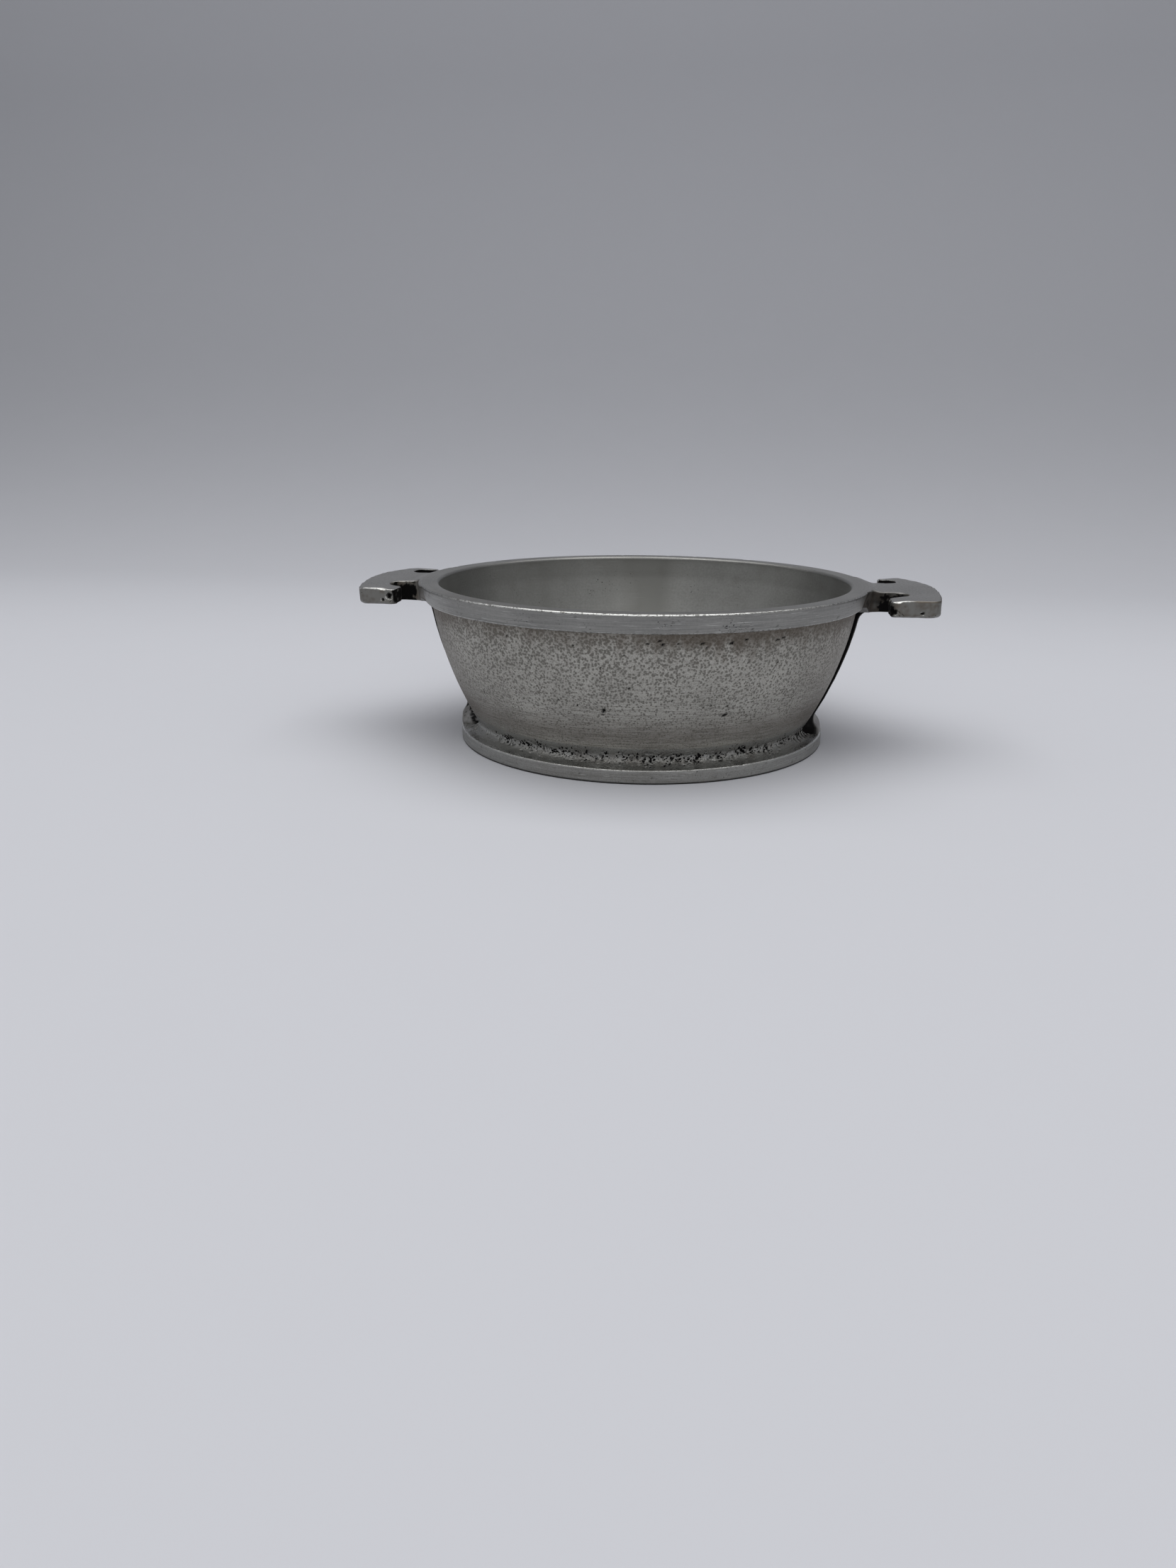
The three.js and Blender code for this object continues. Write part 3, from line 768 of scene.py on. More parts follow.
def wall_pits(points):
    """How deep single pits are, from 0 to 1: the listed ones, a row under the rim and scattered ones."""
    turn = azimuth(points)
    height = points[..., 2]
    reach = np.hypot(points[..., 0], points[..., 1])
    places = np.random.default_rng(26)
    row = [
        (places.uniform(-92, -48), places.normal(52.6, 0.5) * MM, places.uniform(0.4, 0.8) * MM, 0.4 * MM, 0)
        for _ in range(14)
    ]
    scattered = [
        (places.uniform(-180, 180), places.uniform(20, 52) * MM, 0.4 * MM, 0.35 * MM, 40)
        for _ in range(45)
    ]
    pit = np.zeros(height.shape)
    for place, level, long, wide, tilt in (*WALL_PITS, *row, *scattered):
        right = np.radians((turn - place + 180) % 360 - 180) * reach
        up = height - level
        lean = math.radians(tilt)
        along = (right * math.cos(lean) + up * math.sin(lean)) / long
        across = (up * math.cos(lean) - right * math.sin(lean)) / wide
        pit = np.maximum(pit, np.exp(-(along ** 2 + across ** 2) ** 2))
    return pit


def wall_marks(points, pit):
    """How thickly flecks, specks and stain with painted shade lie on the wall: by height and azimuth, broken
    up by noise.
    """
    height = points[..., 2]
    share = (height - SEAM_HEIGHT) / (WALL_HIGH.z - SEAM_HEIGHT)
    patch = noise(points, 16 * MM, 21) + 0.6 * noise(points, 7 * MM, 22)
    streak = noise(points * (1, 1, 0.3), 2.6 * MM, 25)
    fleck = np.interp(share, *FLECK_DENSITY) + 0.22 * patch
    speck = 0.15 * ramp(share, 0.3, 0.9) + 0.3 * patch + 0.3 * ramp(height, 18 * MM, SEAM_HEIGHT)

    # Film and painted shade under the rim's overhang, more film right of the front, film and painted shade
    # towards the sides along the straps, and film above the foot
    film = 0.52 * ramp(share + 0.1 * streak + 0.06 * patch, 0.8, 1.0)
    film = film + 0.5 * bell(azimuth(points), -62, 22) * ramp(share + 0.25 * streak, 0.72, 0.98)
    film = film + np.where(points[..., 0] > 0, 0.44, 0.66) * ramp(from_handles(points), 48, 14)
    near_foot = 0.5 - 0.35 * ramp(height, 18 * MM, SEAM_HEIGHT)
    film = film + ramp(height, 28 * MM, SEAM_HEIGHT + 2 * MM) * near_foot
    return {"fleck": fleck, "speck": np.maximum(speck, 1.2 * pit), "stain_and_shade": np.clip(film, 0, FILM_LIMIT)}


class POT_OT_bowl_wall(Operator):
    """Build the pebbled outside of the wall"""

    bl_idname = "pot.bowl_wall"
    bl_label = "Bowl Wall"

    def execute(self, context):
        sizes = context.scene.pot_sizes
        finishes = context.scene.pot_finishes
        profile, shown = wall_profile(sizes)
        points, normals = turned(profile, FINE_COLUMNS)
        pit = wall_pits(points)
        marks = wall_marks(points, pit)
        pebbles = ramp(noise(points, 2.4 * MM, 23), 0.05, 0.5) * np.clip(marks["fleck"], 0, 1)
        wave = 0.5 + noise(points, 9 * MM, 27)
        sunk = sizes.pebble_depth * pebbles + sizes.wall_pit_depth * pit + sizes.wall_wave * wave
        front = (np.arange(len(profile)) < shown)[:, None]
        fade = ramp(points[..., 2], SEAM_HEIGHT, SEAM_HEIGHT + 2 * MM) * front
        points = points - normals * (sunk * fade)[..., None]
        # The wall's black: dirt and painted shade along the straps, and black pits
        marks["grime_and_shade"] = np.maximum(strap_shadow(points, sizes), ramp(pit, 0.3, 0.75))
        marks["brushed"] = 0.25 + 0.75 * ramp(points[..., 2], 42 * MM, 22 * MM)

        # Pebbled: rubbed high spots between dull flecks, thicker towards the rim, with black pits
        material = aluminium(
            "Pebbled cast aluminium", finishes, finishes.wall_metal, finishes.wall_fleck, 0.42,
            Grain(size=0.4 * MM, depth=0.06 * MM, tone=2.0),
            Lines(width=0.4 * MM, length=14 * MM, depth=0.008 * MM, tone=2.4),
            flecks=sizes.fleck_size, specks=Specks(across=0.8 * MM, around=0.9 * MM),
        )
        add_piece(
            "bowl_wall_pebbled", points, [grid_faces(len(profile), FINE_COLUMNS)], material,
            ["bowl_wall"], marks,
        )
        return {"FINISHED"}


def lining_profile(sizes):
    """The bowl's inside from the axis, under the floor, up inside the metal, and down the inner wall."""
    centre, radius = wall_curve(sizes)
    inside = radius - sizes.wall_thickness
    fillet = sizes.floor_fillet
    floor = FLOOR_HIGH.z
    fillet_height = floor + fillet
    fillet_reach = centre[0] + math.sqrt((inside - fillet) ** 2 - (fillet_height - centre[1]) ** 2)
    lean = math.degrees(math.atan2(fillet_height - centre[1], fillet_reach - centre[0]))
    bend = arc((fillet_reach, fillet_height), fillet, lean, -90, 0.5 * MM)

    lip = np.array((RIM_HIGH.x - sizes.rim_width, RIM_HIGH.z - sizes.rim_inner_round))
    seat = wall_line(sizes, bend[0][1], RIM_LOW.z - 2 * MM, -sizes.wall_thickness)
    knee = seat[-1] + (seat[-1] - seat[-2]) * 30
    t = np.linspace(0, 1, 12)[:, None]
    upper = (1 - t) ** 2 * seat[-1] + 2 * t * (1 - t) * np.array((lip[0], knee[1])) + t ** 2 * lip
    wall = joined(spread(seat, 1.2 * MM), upper)[::-1]

    back = wall_line(sizes, 14 * MM, RIM_LOW.z, 1.2 * MM - sizes.wall_thickness)
    under = FLOOR_LOW.z
    edge = sizes.foot_bore + MM
    return joined(
        spread([(2 * MM, under), (edge, under)], 3 * MM),
        spread([(edge, under), (edge + 3 * MM, under + 2 * MM), back[0]], 5 * MM),
        spread(back, 9 * MM),
        spread([back[-1], wall[0] + (0.7 * MM, 0), wall[0]], 2 * MM),
        wall,
        bend,
        spread([bend[-1], (2 * MM, floor)], 2 * MM),
    )


def lining_marks(points, height):
    """Painted reflections as upright dull and bright bands on the inner wall, clouds on the floor, and film
    in its corner.
    """
    reach = np.hypot(points[..., 0], points[..., 1])
    spoke = points * (1, 1, 0) / np.maximum(reach, MM)[..., None] * RIM_HIGH.x
    upright = ramp(reach, 48 * MM, 66 * MM)
    # Painted reflections: dark and bright bands down the inner wall, carried in the fleck attribute
    dull_and_reflected = 0.35 + upright * (0.8 * noise(spoke, 33 * MM, 44) + 0.25 * noise(spoke, 9 * MM, 45))
    dull_and_reflected = dull_and_reflected + (1 - upright) * (0.7 * noise(points, 14 * MM, 48) + 0.3 * noise(points, 5 * MM, 49))
    for middle, width, dullness in LINING_REFLECTIONS:
        dull_and_reflected = dull_and_reflected + upright * dullness * bell(azimuth(points), middle, width)
    dull_and_reflected = dull_and_reflected + 0.25 * ramp(height, 48 * MM, 60 * MM)
    corner = bell(height, FLOOR_HIGH.z + 2 * MM, 2.5 * MM) * ramp(reach, 52 * MM, 60 * MM)
    worn = 0.25 * ramp(noise(points, 7 * MM, 43), 0.15, 0.5)
    return {
        "stain_and_shade": (corner + worn) * 0.5,
        "fleck": np.clip(dull_and_reflected, 0, 1),
        "speck": 0.5 * noise(points, 9 * MM, 46),
        "brushed": np.full_like(reach, 0.15),
    }


class POT_OT_bowl_lining(Operator):
    """Build the satin inside of the bowl, its floor and the floor's underside"""

    bl_idname = "pot.bowl_lining"
    bl_label = "Bowl Lining"

    def execute(self, context):
        sizes = context.scene.pot_sizes
        finishes = context.scene.pot_finishes
        profile = lining_profile(sizes)
        points, normals = turned(profile, TURNED_COLUMNS, closed=False)
        height = points[..., 2]
        fade = ramp(height, RIM_HIGH.z - 1.5 * MM, RIM_HIGH.z - 6 * MM)
        wave = noise(points, 30 * MM, 41) + 0.4 * noise(points, 11 * MM, 42)
        points = points + normals * (sizes.lining_wave * wave * fade)[..., None]

        # The poles come after the grid's points and carry no marks
        poles = np.array(((0, 0, FLOOR_LOW.z), (0, 0, FLOOR_HIGH.z)))
        faces = capped_faces(len(profile), TURNED_COLUMNS)
        marks = lining_marks(points, height)
        marks = {title: np.concatenate((values.ravel(), (0, 0))) for title, values in marks.items()}

        # Satin: painted reflections as soft light and dark bands down the wall, faint rings, and a few dark
        # dots
        material = aluminium(
            "Satin turned aluminium", finishes, finishes.lining_metal, finishes.lining_dull_and_shade, 0.42,
            Grain(size=0.9 * MM, depth=0.012 * MM, tone=0.9),
            Lines(width=0.8 * MM, length=60 * MM, depth=0.008 * MM, tone=0.9),
            specks=Specks(across=1.6 * MM, around=1.6 * MM),
        )
        add_piece(
            "bowl_lining_satin", np.concatenate((points.reshape(-1, 3), poles)), faces, material,
            ["bowl_floor"], marks,
        )
        return {"FINISHED"}


def foot_profile(sizes):
    """The foot's closed section: the land it stands on, the turned band, the cove and a back in the metal."""
    rim = sizes.foot_radius
    edge = sizes.foot_edge_round
    band = sizes.foot_band_height
    outside = outside_line(sizes)
    cove = spread(outside[outside[:, 1] <= SEAM_HEIGHT], 0.3 * MM)
    seam = spread(outside[outside[:, 1] >= SEAM_HEIGHT], WALL_STEP)[0]
    bore = sizes.foot_bore
    lower = arc((rim - edge, edge), edge, -90, 0)
    upper = arc((rim - edge, band - edge), edge, 0, 90)
    return joined(
        spread([(bore, 0), lower[0]], 1.2 * MM),
        lower,
        spread([lower[-1], upper[0]], 0.4 * MM),
        upper,
        cove,
        [seam],
        spread([seam - (BURIED, 0), (bore + 3 * MM, FOOT_HIGH.z), (bore, FLOOR_LOW.z + MM)], 4 * MM),
        spread([(bore, FLOOR_LOW.z + MM), (bore, 0.5 * MM)], 1.2 * MM),
    )


def foot_forms(points, normals, outer, sizes):
    """The forms on the foot, each from 0 to about 1: pits, ridges, knocks and lumps, and where its parts lie.

    Pits crowd in a ragged belt half way up the cove. Short upright chatter ridges stand beside each strap.
    outer is 1 on the outside and 0 in the hollow under the pot.
    """
    band = sizes.foot_band_height
    height = points[..., 2]
    cove = ramp(height, band, band + 0.5 * MM) * outer
    level = band + 3.1 * MM + 0.8 * MM * noise(points, 14 * MM, 51)
    crowd = 0.75 + 0.8 * noise(points, 20 * MM, 52) + 0.3 * bell(azimuth(points), -40, 18)
    belt = bell(height, level, 2.3 * MM) * crowd
    field = noise(points, 1.1 * MM, 53) + 0.5 * noise(points, 0.7 * MM, 54)
    pit = ramp(field + 0.5 * belt, 0.46, 0.62) * cove * ramp(height, SEAM_HEIGHT, SEAM_HEIGHT - 2 * MM)
    glint = ramp(noise(points, 1.1 * MM, 55) + 0.5 * belt, 0.45, 0.65) * cove * (1 - pit)

    from_strap = from_handles(points)
    around = np.radians(azimuth(points)) * sizes.foot_radius
    ridge = np.sin(around * 2 * np.pi / RIDGE_PITCH + 1.4 * noise(points, 5 * MM, 56))
    broken = np.clip(0.55 + 1.6 * noise(points, 2.5 * MM, 67), 0, 1.3)
    beside = ramp(from_strap, 4, 7) * ramp(from_strap, 34, 22) * ramp(height, band + 5 * MM, band + 2.5 * MM)
    face = ramp(height, 0.4 * MM, MM) * ramp(height, band, band - 0.4 * MM) * outer
    land = ramp(-normals[..., 2], 0.6, 0.95)
    return SimpleNamespace(
        cove=cove, belt=belt, pit=pit, glint=glint, from_strap=from_strap, ridge=ridge, broken=broken,
        face=face, land=land,
        ridges=beside * cove * (0.5 + 0.5 * ridge) * broken,
        # Painted highlight along the band's upper edge, and below it a painted contact shadow along the
        # bottom edge
        upper=bell(height, band, 0.5 * MM) * outer,
        lower=ramp(height, 0.7 * MM, 0.4 * MM) * outer * (1 - land),
        dents=outer * knocks(points, count=40, low=band - 0.5 * MM, high=band, width=0.8 * MM, seed=57),
        scars=face * knocks(points, count=80, low=MM, high=band - MM, width=0.5 * MM, seed=58),
        lumps=noise(points, 4 * MM, 59) * cove * ramp(height, SEAM_HEIGHT, SEAM_HEIGHT - 3 * MM),
    )


def foot_marks(points, height, forms, outer, sizes):
    """Film on the cove, dirt in its pits, between ridges and beside the straps, a face darker round the
    front, a painted contact shadow along the bottom edge, and a painted highlight on the rubbed upper edge.
    """
    band = sizes.foot_band_height
    cove = forms.cove
    from_front = from_azimuth(points, FRONT)
    left = points[..., 0] < 0
    leftward = ramp(from_front, 15, 40) * left
    film = cove * (0.15 + 0.5 * noise(points, 5 * MM, 60)) * ramp(height, SEAM_HEIGHT + 4 * MM, band + 2 * MM)
    film = film * (1 - 0.6 * leftward)
    film = film + 0.35 * (1 - outer) + 0.2 * forms.face * ramp(from_front, 45, 20) + 0.2 * forms.land
    pitted = 0.85 * forms.belt + 1.1 * noise(points, 4 * MM, 66) - 0.22 * ramp(from_front, 20, 50) * left

    # Cracked dirt beside both straps, and black gaps between the ridges beside the right one
    cracks = noise(points * (1, 1, 0.3), 1.4 * MM, 61) + 0.5 * noise(points, 0.8 * MM, 62)
    beside = np.where(left, 0.5 * ramp(forms.from_strap, 24, 17), bell(forms.from_strap, 12.5, 3))
    cracked = beside * cove * ramp(cracks, 0.05, 0.3) * ramp(height, band + MM, band + 3 * MM)
    gaps = ramp(forms.ridge, 0.0, 0.5) * ramp(forms.from_strap, 30, 20) * cove * ~left
    gaps = gaps * ramp(height, band + 0.3 * MM, band + 1.3 * MM) * (0.8 + 0.4 * forms.broken)
    # Besides dirt, this adds the painted contact shadow along the band's bottom edge
    dirt = 0.5 * forms.pit + 0.75 * forms.ridges ** 2 + 0.7 * forms.scars ** 2 + forms.lower
    return {
        "fleck": 0.05 * forms.face + 0.5 * forms.land
        + cove * (0.4 - 0.4 * leftward + 0.6 * noise(points, 3 * MM, 65)),
        "speck": forms.face * (0.8 * noise(points, 8 * MM, 63) - 0.05) + cove * pitted + 0.7 * forms.pit,
        "brushed": forms.face + 0.3 * cove + 0.8 * forms.land,
        "stain_and_shade": np.clip(film, 0, FILM_LIMIT) * (1 - 0.2 * forms.glint),
        "grime_and_shade": np.clip(dirt + np.maximum(cracked, gaps), 0, 1),
        # Painted highlight on the band's upper edge, and faint ones on the cove's crumbs
        "polish_and_highlight": np.clip(forms.upper * (0.9 + 0.9 * noise(points, 9 * MM, 64)) + 0.1 * forms.glint, 0, 1),
    }


class POT_OT_foot_ring(Operator):
    """Build the foot with its turned band and the pitted cove above it"""

    bl_idname = "pot.foot_ring"
    bl_label = "Foot Ring"

    def execute(self, context):
        sizes = context.scene.pot_sizes
        finishes = context.scene.pot_finishes
        profile = foot_profile(sizes)
        points, normals = turned(profile, FINE_COLUMNS)
        height = points[..., 2]
        outer = (profile[:, 0, None] > sizes.foot_bore + 4 * MM).astype(float)
        forms = foot_forms(points, normals, outer, sizes)
        relief = sizes.cove_lumps * forms.lumps - sizes.pit_depth * forms.pit
        relief = relief - sizes.ridge_depth * forms.ridges
        relief = relief - sizes.nick_depth * (forms.dents + 0.5 * forms.scars)
        points = points + normals * relief[..., None]

        # Turned and pitted: a ringed band with a painted highlight on its rubbed upper edge and a painted
        # contact shadow along its bottom, and a dull cove with black pits
        material = aluminium(
            "Turned and pitted cast aluminium", finishes, finishes.lining_metal, finishes.lining_dull_and_shade, 0.39,
            Grain(size=0.6 * MM, depth=0.05 * MM, tone=1.2),
            Lines(width=0.5 * MM, length=30 * MM, depth=0.008 * MM, tone=1.8),
            flecks=0.6 * MM, specks=Specks(across=0.8 * MM, around=1.4 * MM), way="SUBTRACT",
        )
        add_piece(
            "foot_ring_turned", points, [grid_faces(len(profile), FINE_COLUMNS)], material,
            ["foot_ring"], foot_marks(points, height, forms, outer, sizes),
        )
        return {"FINISHED"}


def hook_outline(sizes, tip, side, trim, pocket_trim, widening, rise, corner_round):
    """Half of the lug's plan from its tip round the hook to the neck: arcs tangent to lines between them."""
    step = 0.3 * MM
    neck = sizes.neck_width / 2
    pocket = neck + sizes.pocket_width + widening
    face = RIM_HIGH.x + sizes.hook_standoff + trim
    pocket_end = RIM_HIGH.x + sizes.hook_standoff + sizes.pocket_depth - pocket_trim
    hook_round = sizes.hook_round
    pocket_round = sizes.pocket_round
    heel_round = min(hook_round, pocket_end - pocket_round - face)
    inner = tip - corner_round
    corner = np.array((inner - rise, side - corner_round))
    crown = (inner ** 2 - corner @ corner) / (2 * rise)
    turn = math.degrees(math.atan2(corner[1], corner[0] - crown))
    return spread(joined(
        arc((crown, 0), tip - crown, 0, turn, step),
        arc(corner, corner_round, turn, 90, step),
        arc((face + hook_round, side - hook_round), hook_round, 90, 180, step),
        arc((face + heel_round, pocket + heel_round), heel_round, 180, 270, step),
        arc((pocket_end - pocket_round, pocket - pocket_round), pocket_round, 90, 0, step),
        arc((pocket_end - pocket_round, neck + pocket_round), pocket_round, 0, -90, step),
    ), 0.42 * MM)


def neck_outline(sizes, start, pad, band, pad_start, pad_end):
    """The neck's side from the pocket to its root: a line, a fillet, a pad on the rim, an arc in the metal.

    The fillet is tangent to the pad, a cylinder whose end dips under the rim band's face.
    """
    fillet = sizes.neck_width / 2 + sizes.neck_fillet
    fillet_reach = math.sqrt((pad + sizes.neck_fillet) ** 2 - fillet ** 2)
    touch = math.degrees(math.atan2(fillet, fillet_reach))
    bend = arc((fillet_reach, fillet), sizes.neck_fillet, -90, touch - 180, 0.3 * MM)
    turn = np.linspace(touch, pad_end, 24)[1:]
    reach = pad + (band - 0.3 * MM - pad) * ramp(turn, pad_start, pad_end)
    end = np.column_stack((reach * np.cos(np.radians(turn)), reach * np.sin(np.radians(turn))))
    root = arc((0, 0), RIM_HIGH.x - HANDLE_ROOT, pad_end, 0.5, MM)
    return np.concatenate((spread(joined([start], bend), count=30)[1:], end, root))


def handle_plan(sizes, side, turn, heights):
    """The lug's plan at each height, for the +X side, anticlockwise.

    The left lug is turned half way round afterwards, so there its front half lies on the +Y side.
    """
    tip = sizes.right_tip if turn > 0 else sizes.left_tip
    fall = math.tan(sizes.rim_taper) * np.clip(RIM_HIGH.z - heights, 0, None)
    halves = {}
    for half, reach in (("front", sizes.hook_front), ("rear", sizes.hook_rear)):
        hook = hook_outline(sizes, tip, reach, *HOOKS[side, half])
        share, *pad_ends = PADS[side, half]
        pads = RIM_HIGH.x + share * sizes.pad_proud - 0.3 * fall
        necks = [
            neck_outline(sizes, hook[-1], pad, band, *pad_ends) for pad, band in zip(pads, RIM_HIGH.x - fall)
        ]
        hooks = np.broadcast_to(hook, (len(heights), *hook.shape))
        halves[half] = np.concatenate((hooks, np.stack(necks)), axis=1)
    upper, lower = (halves["rear"], halves["front"]) if turn > 0 else (halves["front"], halves["rear"])
    return np.concatenate((upper, lower[:, :0:-1] * (1, -1)), axis=1)


def filled(outline, spacing):
    """Triangles over a closed outline: its own points, then a triangular grid of points inside it."""
    low, high = outline.min(0), outline.max(0)
    rows = np.arange(low[1], high[1], spacing * math.sqrt(0.75))
    across = np.arange(low[0], high[0], spacing)
    x = across[None] + np.where(np.arange(len(rows)) % 2, spacing / 2, 0)[:, None]
    inner = np.column_stack((x.ravel(), np.repeat(rows, len(across))))

    # A point is inside where a level ray from it crosses the outline an odd number of times
    start, end = outline, np.roll(outline, -1, 0)
    spans = (start[:, 1] > inner[:, 1, None]) != (end[:, 1] > inner[:, 1, None])
    rise = np.where(start[:, 1] == end[:, 1], 1, end[:, 1] - start[:, 1])
    crossing = start[:, 0] + (inner[:, 1, None] - start[:, 1]) * (end[:, 0] - start[:, 0]) / rise
    inside = (spans & (inner[:, 0, None] < crossing)).sum(1) % 2 == 1
    clear = np.linalg.norm(inner[:, None] - outline[None], axis=2).min(1) > 0.6 * spacing
    points = np.concatenate((outline, inner[inside & clear]))

    ring = np.arange(len(outline))
    edges = np.column_stack((ring, np.roll(ring, -1))).tolist()
    made = delaunay_2d_cdt([Vector(p) for p in points.tolist()], edges, [], 1, 1e-9)
    if len(made[0]) != len(points):
        raise RuntimeError("the handle's outline crosses itself")
    return points, np.array(made[2])


def lug_thickness(sizes, spot):
    """The lug's thickness at places in plan: the neck is deeper than the hooks and the pad."""
    neck = sizes.neck_width / 2
    end = RIM_HIGH.x + sizes.hook_standoff + sizes.pocket_depth
    across = np.abs(spot[..., 1])
    deep = ramp(across, neck + 8 * MM, neck + 2 * MM) * ramp(spot[..., 0], end + 9 * MM, end + MM)
    pad = ramp(across, neck + MM, neck + 6 * MM) * ramp(spot[..., 0], RIM_HIGH.x + 2 * MM, RIM_HIGH.x)
    hang = sizes.neck_drop * deep - sizes.hook_lift * (1 - deep)
    return LUG_DEPTH + hang * (1 - pad) - (RIM_LOW.z + 0.5 * MM - HANDLE_LOW.z) * pad


def lug_rings(sizes, side, turn):
    """Rings round the lug, down its worn edge and its side: points, with heights below its top, and normals.

    The edge is a quarter circle at the top and at the bottom, whose round changes along the edge by noise.
    """
    quarter = np.sin(np.linspace(np.pi / 2, 0, 7))
    side_rows = np.linspace(0, 1, 16)[1:-1]
    tilt = np.concatenate((quarter, 0 * side_rows, -quarter[::-1]))[:, None]
    level = np.sqrt(np.clip(1 - tilt ** 2, 0, 1))
    upper = np.concatenate((1 - quarter, 1 - side_rows, 0 * quarter))[:, None]
    lower = np.concatenate((0 * quarter, side_rows, 1 - quarter[::-1]))[:, None]
    below = np.concatenate((0 * quarter, side_rows, 0 * quarter + 1))[:, None]

    plan = handle_plan(sizes, side, turn, HANDLE_HIGH.z - (below * LUG_DEPTH)[:, 0])
    forward = np.roll(plan, -1, 1) - np.roll(plan, 1, 1)
    out = np.stack((forward[..., 1], -forward[..., 0]), axis=-1)
    out = out / np.linalg.norm(forward, axis=-1, keepdims=True)
    outline = np.concatenate((plan[0] * turn, 0 * plan[0][:, :1]), axis=1)
    edge = sizes.handle_round * np.clip(1 + 1.3 * noise(outline, 3.4 * MM, 79), 0.4, 1.8)
    tip = plan[0][:, 0].max()
    low_edge = edge * (1 - 0.8 * ramp(np.abs(plan[-1][:, 1]), 20 * MM, 16 * MM))
    low_edge = low_edge + MM * ramp(plan[-1][:, 0], tip - 9 * MM, tip - 3 * MM)
    clear_of_rim = ramp(np.linalg.norm(plan, axis=-1), RIM_HIGH.x - MM, RIM_HIGH.x + 2 * MM)
    inset = (1 - level) * np.where(tilt > 0, edge, low_edge) * clear_of_rim
    plan = plan - inset[..., None] * out
    drop = upper * edge - lower * low_edge + below * lug_thickness(sizes, plan)
    upright = np.broadcast_to(tilt[..., None], (*plan.shape[:2], 1))
    points = np.concatenate((plan, -drop[..., None]), axis=-1)
    return points, np.concatenate((level[..., None] * out, upright), axis=-1)


def lug_lift(points, sizes, turn):
    """How far the lug rises to meet the rim, less how far its hooks are ground down, fading downwards."""
    reach = np.hypot(points[:, 0], points[:, 1])
    step = RIM_HIGH.z - 0.06 * MM - HANDLE_HIGH.z
    rise = step * ramp(reach, RIM_HIGH.x + 4.5 * MM, RIM_HIGH.x - 0.3 * MM)
    face = RIM_HIGH.x + sizes.hook_standoff
    past_neck = np.abs(points[:, 1]) - sizes.neck_width / 2
    front = ramp(past_neck, 8 * MM, 11 * MM) * ramp(points[:, 0], face + 6 * MM, face)
    rear = ramp(past_neck, 9.5 * MM, 17 * MM) * ramp(points[:, 0], face + 12 * MM, face + 4 * MM)
    sag = sizes.hook_sag * np.where(points[:, 1] * turn > 0, rear, front)
    return (rise - sag) * (1 + points[:, 2] / LUG_DEPTH)


